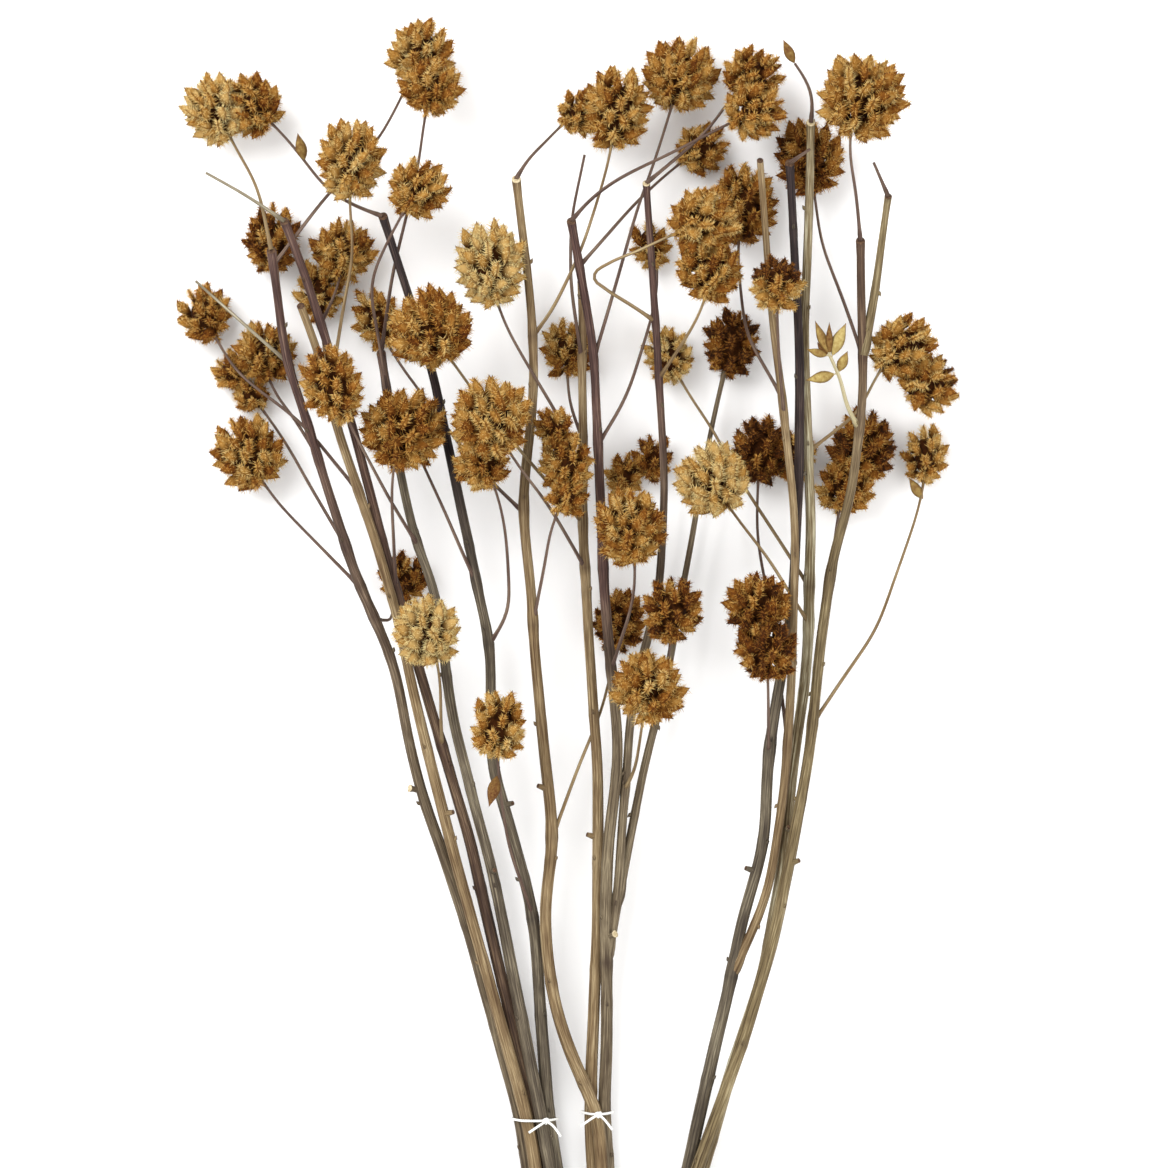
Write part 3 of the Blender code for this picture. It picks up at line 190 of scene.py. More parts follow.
TWIGS = [
    Branch("left_1", 264, [(-187, 303)], "1"),
    Branch("left_1", 255, [(-146, 296), (-115, 332)], "2"),
    Branch("left_1", 197, [(-195, 220), (-223, 245)], end_height=56),
    Branch("left_1", 160, [(-173, 196)], "6"),
    Branch("left_1", 140, [(-168, 168)], "9"),
    Branch("left_1", 85, [(-160, 128)], "10"),
    Branch("left_1", 62, [(-158, 96)], "15"),
    Branch("left_1", 47, [(-107, 40)], "19"),
    Branch("left_2", 165, [(-143, 190)], "7b"),
    Branch("left_2", 120, [(-158, 160), (-196, 192)], "8"),
    Branch("left_3", 281, [(-192, 296), (-217, 310)], end_height=54),
    Branch("left_3", 220, [], "7"),
    Branch("left_3", 195, [(-133, 235), (-127, 262)], "4"),
    Branch("left_3", 60, [(-105, 95)], "14"),
    Branch("left_3", -34, [(-76, -8)], "20"),
    Branch("left_4", 202, [(-106, 246), (-98, 280), (-90, 315)], "3"),
    Branch("left_4", 180, [(-119, 245)], "5"),
    Branch("left_4", 88, [(-104, 112)], "13"),
    Branch("left_5", 284, [(-122, 288), (-146, 302)], "1b"),
    Branch("left_5", 65, [(-72, 104), (-88, 138)], end_height=60),
    Branch("left_5", 28, [(-35, 47), (-36, 84)], "18"),
    Branch("left_5", -138, [(-35, -95)], "21"),
    Branch("middle_1", 306, [(-23, 321), (-10, 333)], "26"),
    Branch("middle_1", 212, [(-10, 226), (8, 262)], "27"),
    Branch("middle_1", 107, [(-52, 131), (-73, 157), (-93, 183)], "11"),
    Branch("middle_1", 40, [(-13, 80)], "24b"),
    Branch("middle_1", -88, [(5, -50), (20, -14)], "44"),
    Branch("middle_2", 200, [(2, 246), (2, 283), (10, 322)], end_height=40),
    Branch("middle_2", 150, [(1, 172)], "25"),
    Branch("middle_2", 130, [(-3, 160), (-23, 193)], "16"),
    Branch("middle_2", 100, [(-28, 142), (-50, 170)], "12"),
    Branch("middle_2", 74, [(-10, 112)], "17"),
    Branch("middle_3", 281, [(11, 292), (30, 306), (60, 320)], "30"),
    Branch("middle_3", 254, [(24, 274), (40, 293)], "29"),
    Branch("middle_3", 199, [(29, 246), (42, 292), (50, 314)], "28"),
    Branch("middle_3", 147, [(36, 178), (49, 218)], "32"),
    Branch("middle_3", 74, [(28, 92)], "39"),
    Branch("middle_3", 12, [(38, 50)], "42"),
    Branch("middle_3_limb", 304, [(72, 326), (88, 342)], "31"),
    Branch("middle_3_limb", 220, [(13, 248), (40, 262)], "33"),
    Branch("middle_3_limb", 187, [(72, 212)], "34"),
    Branch("middle_3_limb", -60, [(40, -48)], "45"),
    Branch("middle_3_side", 10, [], "43"),
    Branch("right_1", 316, [(145, 324)], end_height=56),
    Branch("right_1", -38, [(121, -22)], "56"),
    Branch("right_1_limb", 175, [(108, 214)], "35"),
    Branch("right_1_limb", 165, [(126, 192)], "36"),
    Branch("right_1_limb", -30, [(122, 42), (112, 90)], "53"),
    Branch("right_3", 341, [(148, 358), (136, 376)], end_height=50),
    Branch("right_3", 143, [(176, 169)], "48"),
    Branch("right_3", 62, [(109, 122), (92, 154)], "38"),
    Branch("right_3", 40, [(120, 78)], "41"),
    Branch("right_4", 269, [(172, 300)], "46"),
    Branch("right_4", 200, [(166, 232), (152, 268)], "47"),
    Branch("right_4", 156, [(167, 170), (162, 186), (156, 199)], end_height=76, node="unripe_shoot"),
    Branch("right_4", 66, [(160, 84)], "52"),
    Branch("right_4", -20, [(187, 38), (200, 73)], "51"),
    Branch("right_4_limb", 296, [(183, 316)], end_height=56),
]

HEADS = {
    "1": Head(-212, 350, 32, 44, 46, -25, "heads_far_left"),
    "1b": Head(-192, 353, 32, 40, 42, -50, "heads_far_left"),
    "2": Head(-88, 389, 38, 43, 47, 22, "heads_top_left"),
    "3": Head(-84, 358, 38, 40, 40, 10, "heads_top_left"),
    "4": Head(-127, 316, 62, 43, 54, 3, "head_left_peak"),
    "5": Head(-92, 301, 66, 40, 38, 30, "head_left_round"),
    "6": Head(-179, 271, UNDER, 38, 46, 0, "head_left_dark"),
    "7": Head(-137, 266, UNDER, 42, 40, 10, "heads_left_inner"),
    "7b": Head(-145, 241, UNDER, 32, 42, 0, "heads_left_inner"),
    "8": Head(-221, 228, UNDER, 36, 39, -30, "head_left_edge"),
    "9": Head(-184, 204, UNDER, 41, 42, -10, "heads_left_cluster"),
    "10a": Head(-207, 194, UNDER, 28, 28, -20, "heads_left_cluster"),
    "10": Head(-193, 179, UNDER, 26, 26, -35, "heads_left_cluster"),
    "11": Head(-119, 224, UNDER, 32, 44, -26, "head_left_shade"),
    "12": Head(-81, 215, OVER, 52, 52, -32, "head_left_large"),
    "13": Head(-134, 180, OVER, 40, 54, -23, "head_left_long"),
    "14": Head(-100, 157, OVER, 53, 50, 14, "head_left_broad"),
    "15": Head(-192, 144, UNDER, 45, 50, -25, "head_left_low"),
    "16": Head(-46, 254, 70, 45, 56, -9, "head_pale_peak"),
    "17": Head(-46, 166, OVER, 51, 49, -28, "heads_left_pair"),
    "18": Head(-50, 134, OVER, 38, 38, -27, "heads_left_pair"),
    "19": Head(-99, 67, UNDER, 33, 35, 22, "head_left_small"),
    "20": Head(-83, 36, OVER, 43, 47, -17, "head_pale_left"),
    "21": Head(-41, -21, OVER, 36, 46, 2, "head_lowest"),
    "23": Head(-9, 160, 70, 28, 30, -10, "heads_middle_column"),
    "24": Head(-1, 137, 70, 36, 40, -5, "heads_middle_column"),
    "24b": Head(-1, 113, 70, 28, 28, 35, "heads_middle_column"),
    "25": Head(0, 206, UNDER, 36, 40, 2, "head_middle_shade"),
    "26": Head(8, 348, 34, 32, 34, 60, "heads_middle_top"),
    "27": Head(32, 350, 40, 43, 54, 8, "heads_middle_top"),
    "28": Head(67, 371, 34, 48, 51, 16, "head_top_middle"),
    "29": Head(81, 328, UNDER, 34, 37, 56, "head_middle_side"),
    "30": Head(113, 346, 52, 38, 40, 65, "heads_top_right"),
    "31": Head(111, 372, 34, 38, 36, 45, "heads_top_right"),
    "32": Head(50, 270, UNDER, 28, 34, -18, "head_middle_small"),
    "33": Head(81, 281, 78, 45, 46, 68, "heads_right_inner"),
    "34": Head(85, 248, 74, 42, 34, 10, "heads_right_inner"),
    "35": Head(109, 294, UNDER, 44, 54, 10, "head_right_tall"),
    "36": Head(124, 243, OVER, 38, 37, 0, "head_right_cup"),
    "37": Head(96, 209, UNDER, 38, 46, 13, "head_right_darkest"),
    "38": Head(62, 203, UNDER, 34, 40, -27, "head_right_shade"),
    "39": Head(34, 130, UNDER, 28, 31, 15, "heads_middle_low"),
    "40": Head(53, 141, UNDER, 28, 32, 10, "heads_middle_low"),
    "41": Head(85, 126, OVER, 47, 46, -32, "head_pale_right"),
    "42": Head(37, 97, OVER, 45, 52, -8, "head_middle_front"),
    "43": Head(62, 47, 76, 38, 44, 5, "head_low_dark"),
    "44": Head(31, 41, UNDER, 36, 44, 8, "head_low_shade"),
    "45": Head(49, 4, 78, 47, 43, 10, "head_low_front"),
    "46": Head(176, 355, 62, 56, 54, 20, "head_top_right"),
    "47": Head(143, 321, UNDER, 43, 51, -10, "head_right_back"),
    "48": Head(200, 207, 50, 40, 46, 45, "heads_far_right"),
    "49": Head(218, 184, 46, 40, 40, 60, "heads_far_right"),
    "51": Head(217, 142, UNDER, 30, 40, 3, "head_right_edge"),
    "50": Head(181, 153, UNDER, 43, 50, 10, "heads_right_dark"),
    "52": Head(167, 120, UNDER, 37, 40, 15, "heads_right_dark"),
    "53": Head(112, 144, UNDER, 40, 46, 3, "heads_right_low"),
    "54": Head(139, 141, UNDER, 28, 42, 10, "heads_right_low"),
    "55": Head(111, 58, 74, 42, 42, -14, "heads_right_last"),
    "56": Head(119, 21, 80, 40, 40, -3, "heads_right_last"),
}

# Each cut stub: its stem, its Y and its way.
STUBS = [
    ("left_1", -61, (-0.9, 0.2, 0.5)),
    ("left_2", -75, (0.8, 0.2, 0.6)),
    ("left_4", -110, (0.2, 0.2, 1.0)),
    ("left_5", -70, (0.7, 0.2, 0.6)),
    ("middle_1", -60, (-0.8, 0.3, 0.5)),
    ("middle_2", -90, (-0.9, 0.3, 0.4)),
    ("middle_3", -150, (0.7, 0.3, 0.6)),
    ("right_1", -110, (-0.9, 0.3, 0.4)),
    ("right_3", -85, (0.2, 0.3, 1.0)),
    ("right_4", -105, (0.8, 0.3, 0.5)),
]
STUB_LENGTH = 7.5
STUB_RADIUS = 1.7
PALE_STUBS = ("left_1", "middle_3")

# Each pod left on a bare twig: its stem, about where it grows, its way in plan, its size and its tone.
LOOSE_PODS = [
    ("left_5", (-165, 314), (-3, 10), 1.05, 0.30),
    ("left_5", (-40, -50), (-4, -20), 1.15, 0.12),
    ("right_3", (131, 381), (-8, 14), 0.95, 0.24),
    ("right_4", (209, 112), (-12, 16), 0.95, 0.36),
]
LOOSE_RISE = 4.0

# Each pod of the young shoot: where its foot lies in plan, its reach from there, its width and its tone.
UNRIPE_PODS = [
    ((161, 189), (-17.5, -4.8, 3.0), 7.2, 0.52),
    ((162, 189), (4.4, 12.6, 4.0), 6.4, 0.44),
    ((156, 199), (-13.0, 3.2, 2.0), 5.0, 0.40),
    ((158, 198), (7.2, 20.0, 3.0), 8.0, 0.68),
    ((155, 202), (-9.4, 19.4, 1.0), 6.0, 0.34),
    ((155, 202), (-1.6, 18.6, 5.0), 4.4, 0.16),
    ((156, 200), (-7.0, 7.0, -2.0), 5.0, 0.02),
]
# Where round its bundle each string's knot sits, in radians from +X towards +Z.
KNOT_ANGLES = {"left": 1.1, "middle": 1.5, "right": 1.9}

# How pale a head is, from 0, dark red-brown, to 1, straw.
TONES = {"1": 0.76, "1b": 0.34, "2": 0.50, "6": 0.24, "37": 0.08, "50": 0.16, "53": 0.09, "55": 0.17,
    "56": 0.16, "16": 0.88, "20": 0.94, "33": 0.48, "34": 0.36, "41": 0.84, "36": 0.52, "51": 0.58,
    "38": 0.66, "9": 0.46, "4": 0.60, "45": 0.46, "12": 0.38, "14": 0.36, "11": 0.46, "46": 0.48, "47": 0.26,
    "35": 0.28, "44": 0.26, "43": 0.26, "40": 0.24, "19": 0.26, "31": 0.38, "8": 0.40, "48": 0.44, "3": 0.40,
    "26": 0.40, "21": 0.52}
USUAL_TONE = 0.42
# From how high, as the cosine of the angle to the apex, a head's pods are dark and shrivelled.
SHRUNK_TOPS = {"36": 0.10, "49": 0.86, "13": 0.90}


def unit(vector: Array) -> Array:
    """The vector, or each row of an array of them, divided by its length."""
    length = np.linalg.norm(vector, axis=-1, keepdims=True)
    return vector / np.maximum(length, TINY)


def ring_angles(count: int) -> Array:
    """This many angles evenly round a circle, from 0."""
    return np.arange(count) * math.tau / count


def walked_along(points: Array) -> Array:
    """How far along a polyline each of its points lies: the running sum of its steps' lengths."""
    return np.concatenate([[0.0], np.cumsum(np.linalg.norm(np.diff(points, axis=0), axis=1))])


def points_at(places: Union[float, Array], marks: Array, points: Array) -> Array:
    """The points at these places of a polyline whose points lie at these marks, straight in between."""
    return np.stack([np.interp(places, marks, points[:, k]) for k in range(3)], -1)


def nearest_in_plan(points: Array, spot: tuple[float, float]) -> Array:
    """The one of these points that lies nearest to a spot when seen from above."""
    return points[np.argmin(np.hypot(points[:, 0] - spot[0], points[:, 1] - spot[1]))]


def stepped(points: list[tuple], longest: float) -> list[tuple]:
    """Adds points evenly to a polyline, so that no step is longer than this.

    Args:
        points: The corners.
        longest: The longest step in plan, mm.

    Returns:
        The corners with the added points between them.
    """
    found = [points[0]]
    for start, end in zip(points, points[1:]):
        steps = max(1, math.ceil(math.dist(start[:2], end[:2]) / longest))
        for k in range(1, steps + 1):
            t = k / steps
            found.append(tuple(a + (b - a) * t for a, b in zip(start, end)))
    return found


def with_starts(points: list[tuple], starts: list[float]) -> list[tuple]:
    """Adds a point to a line that falls in Y at each Y where a branch leaves it.

    Args:
        points: The line's points.
        starts: The Ys of its branches.

    Returns:
        The points with the added ones among them.
    """
    found = list(points)
    for y in starts:
        if min(abs(p[1] - y) for p in found) < SAME_PLACE:
            continue
        for k, (above, below) in enumerate(zip(found, found[1:])):
            if below[1] < y < above[1]:
                t = (above[1] - y) / (above[1] - below[1])
                found.insert(k + 1, tuple(a + (b - a) * t for a, b in zip(above, below)))
                break
    return found


@dataclass
class Line:
    """A settled chain of particles with a radius at each: a stem, a limb or a branch."""

    name: str
    owner: str
    particles: list[int]
    radii: list[float]
    head: str = ""
    grows_from: str = ""


@dataclass
class Sheaf:
    """Particles joined into lines and head sticks, with the rounded rods that keep clear of each other.

    A stick is a head's two particles and its length. A bond is the four particles of two heads that are
    grown into each other, and how far apart they may stand.
    """

    places: list[tuple[float, float, float]] = field(default_factory=list)
    hold: list[tuple[float, float]] = field(default_factory=list)
    lines: dict[str, Line] = field(default_factory=dict)
    sticks: dict[str, tuple[int, int, float]] = field(default_factory=dict)
    rods: list[tuple] = field(default_factory=list)
    bends: list[tuple[int, int, int]] = field(default_factory=list)
    bonds: list[tuple] = field(default_factory=list)

    @classmethod
    def laid_out(cls) -> "Sheaf":
        """Lays out the whole sheaf as it is planned, before it settles.

        Returns:
            The sheaf.
        """
        sheaf = cls()
        for stem in STEMS:
            sheaf.add_stem(stem)
        for name, head in HEADS.items():
            sheaf.add_head(name, head)
        names = list(HEADS)
        for one, other in zip(names, names[1:]):
            if HEADS[one].node == HEADS[other].node:
                reach = FUSED_REACH * (HEADS[one].width + HEADS[other].width) / 2
                sheaf.bonds.append((*sheaf.sticks[one][:2], *sheaf.sticks[other][:2], reach))
        for limb in LIMBS:
            sheaf.add_branch(limb, True)
        for twig in TWIGS:
            sheaf.add_branch(twig, False)
        return sheaf

    def particle(self, x: float, y: float, z: float, hold: tuple[float, float]) -> int:
        """Adds one particle.

        Args:
            x, y, z: Its planned place.
            hold: How firmly it is drawn there, in plan and in height.

        Returns:
            Its index.
        """
        self.places.append((x, y, z))
        self.hold.append(hold)
        return len(self.places) - 1

    def rod(self, first: int, last: int, share: tuple, radii: tuple, owner: str) -> None:
        """Adds a rounded rod along part of the way between two particles."""
        self.rods.append((first, last, share[0], share[1], radii[0], radii[1], owner))

    def at(self, line_name: str, y: float) -> int:
        """The particle of a line that lies nearest to this Y."""
        return min(self.lines[line_name].particles, key=lambda i: abs(self.places[i][1] - y))

    def add_line(self, line: Line) -> None:
        """Records a line with a rod along each of its steps, and its bends for smoothing.

        Args:
            line: The line.
        """
        self.lines[line.name] = line
        for a, b, ra, rb in zip(line.particles, line.particles[1:], line.radii, line.radii[1:]):
            self.rod(a, b, (0.0, 1.0), (ra, rb), line.owner)
        self.bends += list(zip(line.particles, line.particles[1:], line.particles[2:]))

    def add_stem(self, stem: Stem) -> None:
        """Adds a main stem: a straight rise from the butt over the tie to where the heads lie, then level.

        Args:
            stem: Its plan.
        """
        tie, butt = stem.tie, stem.butt
        points = []
        for x, y in stem.route:
            rise = min(1.0, (y - tie[1]) / (LINE_UP_HEIGHT - tie[1]))
            points.append((x, y, tie[2] + (stem.top_height - tie[2]) * rise))
        points += [tie, butt]
        starts = [b.start for b in LIMBS + TWIGS if b.parent == stem.name]
        points = with_starts(stepped(points, LONGEST_STEM_STEP), starts)
        length = points[0][1] - butt[1]
        particles, radii = [], []
        for x, y, z in points:
            particles.append(self.particle(x, y, z, TIED_HOLD if y <= tie[1] else STEM_HOLD))
            down = (points[0][1] - y) / length
            radii.append(STEM_TOP_RADIUS
                         + (STEM_BUTT_RADIUS - STEM_TOP_RADIUS) * min(1.0, down * BUTT_SPREAD))
        self.add_line(Line(stem.name, stem.name, particles, radii))

    def add_head(self, name: str, head: Head) -> None:
        """Adds a head's stick, from the start of its straight stalk to the centre of its apex end.

        Args:
            name: The head's name in the plan.
            head: Its plan.
        """
        radius = head.width / 2
        spare = max(0.0, head.length - head.width)
        length = STALK_LENGTH + BASE_CUT * radius + spare
        lean = math.radians(head.lean)
        way = np.array([math.sin(lean), math.cos(lean)])
        height = radius - FLOOR_SINK if head.z == UNDER else head.z
        apex = np.array([head.x, head.y]) + way * spare / 2
        tail = apex - way * length
        stick = self.particle(*tail, height, TWIG_HOLD), self.particle(*apex, height, APEX_HOLD)
        self.sticks[name] = (*stick, length)
        share = ((STALK_LENGTH + BASE_CUT * radius) / length, 1.0)
        self.rod(*stick, share, (radius, radius), head.node)

    def add_branch(self, branch: Branch, thick: bool) -> None:
        """Adds a limb or a twig from a particle of its parent to its end, or to its head's stalk.

        A twig changes height and thickness evenly from end to end. A limb is at its end's height earlier.

        Args:
            branch: Its plan.
            thick: Whether it is a limb.
        """
        root = self.at(branch.parent, branch.start)
        parent = self.lines[branch.parent]
        start = self.places[root]
        if branch.head:
            tail, apex, length = self.sticks[branch.head]
            end = self.places[tail]
            route = branch.route + [end[:2]]
            end_height = end[2]
        else:
            route = branch.route
            end_height = branch.end_height
        plan = stepped([start[:2]] + route, LONGEST_STEM_STEP if thick else LONGEST_TWIG_STEP)
        if branch.limb:
            starts = [b.start for b in LIMBS + TWIGS if b.parent == branch.limb]
            plan = with_starts(plan[::-1], starts)[::-1]
        walked = np.cumsum([0.0] + [math.dist(a, b) for a, b in zip(plan, plan[1:])])
        base_r, tip_r = (LIMB_BASE_RADIUS, LIMB_TOP_RADIUS) if thick else (TWIG_BASE_RADIUS, TWIG_TIP_RADIUS)
        if branch.head and thick:
            tip_r = TWIG_BASE_RADIUS
        particles, radii = [root], [base_r]
        inner = plan[1:-1] if branch.head else plan[1:]
        for (x, y), d in zip(inner, walked[1:]):
            t = d / walked[-1]
            rise = min(1.0, LIMB_RISE * t) if thick else t
            z = start[2] + (end_height - start[2]) * rise
            particles.append(self.particle(x, y, z, LIMB_HOLD if thick else TWIG_HOLD))
            radii.append(base_r + (tip_r - base_r) * t)
        owner = branch.node or parent.owner
        if branch.head:
            particles.append(tail)
            radii.append(tip_r)
            self.rod(tail, apex, (0.0, STALK_LENGTH / length), (tip_r, tip_r), owner)
        name = branch.limb or f"{branch.parent}_{branch.head or 'twig'}_{round(branch.start)}"
        self.add_line(Line(name, owner, particles, radii, branch.head, parent.name))
        if branch.head:
            self.bends.append((particles[-2], tail, apex))


def nearest_shares(p1: Array, d1: Array, p2: Array, d2: Array) -> tuple:
    """Where two straight steps come closest, from the usual pair of linear equations, clipped to the steps.

    Args:
        p1, d1: Start and step of each first one.
        p2, d2: Start and step of each second one.

    Returns:
        The share of each that is walked to get there.
    """
    r = p1 - p2
    a = np.maximum((d1 * d1).sum(1), TINY)
    e = np.maximum((d2 * d2).sum(1), TINY)
    b, c, f = (d1 * d2).sum(1), (d1 * r).sum(1), (d2 * r).sum(1)
    across = a * e - b * b
    s = np.where(across > TINY * a * e, np.clip((b * f - c * e) / np.maximum(across, TINY), 0, 1), 0.5)
    t = (b * s + f) / e
    s = np.where(t < 0, np.clip(-c / a, 0, 1), np.where(t > 1, np.clip((b - c) / a, 0, 1), s))
    return s, np.clip(t, 0, 1)


class Settler:
    """Moves a sheaf's particles, a little at a time, until no two rods of it cross."""

    ROUNDS = 520
    QUIET_ROUNDS = 160  # at the end nothing pulls any more, so that what still crosses is cleared
    PLAN_SHARE = 0.45  # how readily a crossing is cleared sideways rather than in height
    LEAST_GAIN = 0.05  # keeps a push across a nearly flat crossing from growing without end
    LEAST_APART = 1e-6  # keeps the same for two rods that cross in one point
    OVERSTEP = 1.15  # each round moves a little further than the mean push
    LEAST_WEIGHT = 0.75
    SMOOTHING = 0.5
    EASED = 0.7  # how much of the pull towards the plan is gone by the last round
    SEARCH_EVERY = 8
    SEARCH_MARGIN = 8.0

    def __init__(self, sheaf: Sheaf) -> None:
        """Puts the sheaf's lists into arrays.

        Args:
            sheaf: The sheaf as it is planned.
        """
        self.sheaf = sheaf
        self.places = np.array(sheaf.places, float)
        self.targets = self.places.copy()
        self.hold = np.array(sheaf.hold)[:, [0, 0, 1]]
        rods = sheaf.rods
        self.first = np.array([r[0] for r in rods])
        self.last = np.array([r[1] for r in rods])
        self.share = np.array([[r[2], r[3]] for r in rods])
        self.radii = np.array([[r[4], r[5]] for r in rods])
        owners = sorted({r[6] for r in rods})
        self.owner = np.array([owners.index(r[6]) for r in rods])
        self.is_head = np.array([r[6].startswith("head") for r in rods])
        self.bends = np.array(sheaf.bends)
        self.sticks = np.array([s[:2] for s in sheaf.sticks.values()])
        self.stick_length = np.array([s[2] for s in sheaf.sticks.values()])
        self.bonds = np.array([b[:4] for b in sheaf.bonds])
        self.bond_reach = np.array([b[4] for b in sheaf.bonds])
        self.lowest = self.floor_heights()
        self.pairs = self.candidates = self.possible_pairs()

    def floor_heights(self) -> Array:
        """How low each particle may lie.

        Returns:
            The least height of each, which is that of the thickest rod that ends there.
        """
        low = np.zeros(len(self.places))
        for first, last, _, _, r0, r1, owner in self.sheaf.rods:
            if owner.startswith("head"):
                low[last] = max(low[last], r1 - FLOOR_SINK)
                low[first] = max(low[first], TWIG_TIP_RADIUS)
            else:
                low[first] = max(low[first], r0 * FLAT_SIDE)
                low[last] = max(low[last], r1 * FLAT_SIDE)
        return low

    def possible_pairs(self) -> tuple[Array, Array]:
        """Every pair of rods that is kept apart: not neighbours on a line, nor two heads of one node.

        Returns:
            The first and the second rod of each pair.
        """
        i, j = np.triu_indices(len(self.first), 1)
        shared = (self.first[i] == self.first[j]) | (self.first[i] == self.last[j])
        shared |= (self.last[i] == self.first[j]) | (self.last[i] == self.last[j])
        fused = (self.owner[i] == self.owner[j]) & self.is_head[i]
        keep = ~shared & ~fused
        return i[keep], j[keep]

    def ends(self) -> tuple[Array, Array]:
        """Each rod's two end points."""
        a, b = self.places[self.first], self.places[self.last]
        return a + (b - a) * self.share[:, :1], a + (b - a) * self.share[:, 1:]

    def search(self) -> None:
        """Picks the pairs that are near enough to touch soon."""
        start, end = self.ends()
        middle = (start + end) / 2
        reach = np.linalg.norm(end - start, axis=1) / 2 + self.radii.max(1)
        i, j = self.candidates
        apart = np.linalg.norm(middle[i] - middle[j], axis=1)
        near = apart < reach[i] + reach[j] + self.SEARCH_MARGIN
        self.pairs = i[near], j[near]

    def contacts(self) -> tuple:
        """The pairs that are too near each other now.

        Returns:
            Both rods of each, the share along both, how deep they cross, and which way they part.
        """
        i, j = self.pairs
        start, end = self.ends()
        d = end - start
        s, t = nearest_shares(start[i], d[i], start[j], d[j])
        between = start[i] + d[i] * s[:, None] - start[j] - d[j] * t[:, None]
        apart = np.linalg.norm(between, axis=1)
        need = (self.radii[i, 0] + (self.radii[i, 1] - self.radii[i, 0]) * s
                + self.radii[j, 0] + (self.radii[j, 1] - self.radii[j, 0]) * t + CLEARANCE)
        hit = apart < need
        way = between[hit] / np.maximum(apart[hit], self.LEAST_APART)[:, None]
        return i[hit], j[hit], s[hit], t[hit], (need - apart)[hit], way

    def part(self) -> float:
        """Pushes crossing rods apart, mostly in height, each particle by the mean of its pushes.

        Returns:
            How deep the deepest crossing was.
        """
        i, j, s, t, depth, way = self.contacts()
        if not len(i):
            return 0.0
        push = way * [self.PLAN_SHARE, self.PLAN_SHARE, 1.0]
        gain = (push * way).sum(1)
        step = push * (depth / np.maximum(gain, self.LEAST_GAIN))[:, None] / 2
        moved = np.zeros_like(self.places)
        weight = np.zeros(len(self.places))
        for rods, share, sign in ((i, s, 1.0), (j, t, -1.0)):
            along = self.share[rods, 0] + share * (self.share[rods, 1] - self.share[rods, 0])
            for ends, w in ((self.first[rods], 1 - along), (self.last[rods], along)):
                np.add.at(moved, ends, step * (sign * w)[:, None])
                np.add.at(weight, ends, w * w)
        self.places += self.OVERSTEP * moved / np.maximum(weight, self.LEAST_WEIGHT)[:, None]
        return float(depth.max())

    def smooth(self, strength: float) -> None:
        """Draws each bend's change from the plan towards the mean of its neighbours' changes.

        Args:
            strength: The share of the difference that goes at once.
        """
        a, b, c = self.bends.T
        change = self.places - self.targets
        pull = (change[a] + change[c]) / 2 - change[b]
        total = np.zeros_like(self.places)
        count = np.zeros(len(self.places))
        np.add.at(total, b, pull)
        np.add.at(count, b, 1.0)
        self.places += strength * total / np.maximum(count, 1.0)[:, None]

    def keep_bonds(self) -> None:
        """Draws two heads that are grown into each other together where they have drifted apart."""
        tail_a, apex_a, tail_b, apex_b = self.bonds.T
        d = self.places[apex_b] - self.places[apex_a]
        spare = np.maximum(np.linalg.norm(d, axis=1) - self.bond_reach, 0.0)
        shift = unit(d) * (spare / 2)[:, None]
        for ends, sign in ((tail_a, 1), (apex_a, 1), (tail_b, -1), (apex_b, -1)):
            np.add.at(self.places, ends, sign * shift)

    def keep_sticks(self) -> None:
        """Keeps each head's stick at its length and nothing below the floor."""
        a, b = self.sticks.T
        d = self.places[b] - self.places[a]
        spare = np.linalg.norm(d, axis=1) - self.stick_length
        shift = unit(d) * (spare / 2)[:, None]
        self.places[a] += shift
        self.places[b] -= shift
        self.places[:, 2] = np.maximum(self.places[:, 2], self.lowest)

    def settle(self) -> float:
        """Runs all rounds.

        Returns:
            How deep the deepest crossing still is, mm.
        """
        deepest = 0.0
        for k in range(self.ROUNDS):
            if k % self.SEARCH_EVERY == 0:
                self.search()
            if k < self.ROUNDS - self.QUIET_ROUNDS:
                ease = 1.0 - self.EASED * k / self.ROUNDS
                self.places += ease * self.hold * (self.targets - self.places)
                self.smooth(self.SMOOTHING * ease)
            deepest = self.part()
            self.keep_bonds()
            self.keep_sticks()
        return deepest


@dataclass
class Settled:
    """The settled sheaf, and what is read from it."""

    sheaf: Sheaf
    places: Array

    def head_base(self, name: str) -> tuple[Array, Array]:
        """Where a head sits on its stalk.

        Args:
            name: The head's name in the plan.

        Returns:
            The centre of its base and the way from there to its apex.
        """
        tail, apex, _ = self.sheaf.sticks[name]
        way = unit(self.places[apex] - self.places[tail])
        return self.places[tail] + way * STALK_LENGTH, way

    def line_point(self, name: str, y: float) -> Array:
        """The point of a line at a given Y.

        Args:
            name: The line.
            y: The place along the sheaf.

        Returns:
            The point.
        """
        points = self.places[self.sheaf.lines[name].particles]
        order = np.argsort(points[:, 1])
        return points_at(y, points[order, 1], points[order])

    def radius_at(self, name: str, y: float) -> float:
        """The radius of a line at this Y."""
        line = self.sheaf.lines[name]
        return float(np.interp(-y, -self.places[line.particles][:, 1], line.radii))

    def lines_of(self, owner: str) -> list[Line]:
        """The lines that one node is made of, in the order in which they were laid out."""
        return [line for line in self.sheaf.lines.values() if line.owner == owner]


def colour(red: int, green: int, blue: int) -> tuple[float, float, float, float]:
    """A colour that is given as a screen shows it, as the linear light that a shader reads.

    Args:
        red, green, blue: From 0 to 255.

    Returns:
        Linear red, green and blue from 0 to 1, and full alpha.
    """
    shown = np.array([red, green, blue]) / 255
    light = np.where(shown <= 0.04045, shown / 12.92, ((shown + 0.055) / 1.055) ** 2.4)
    return (*light.tolist(), 1.0)


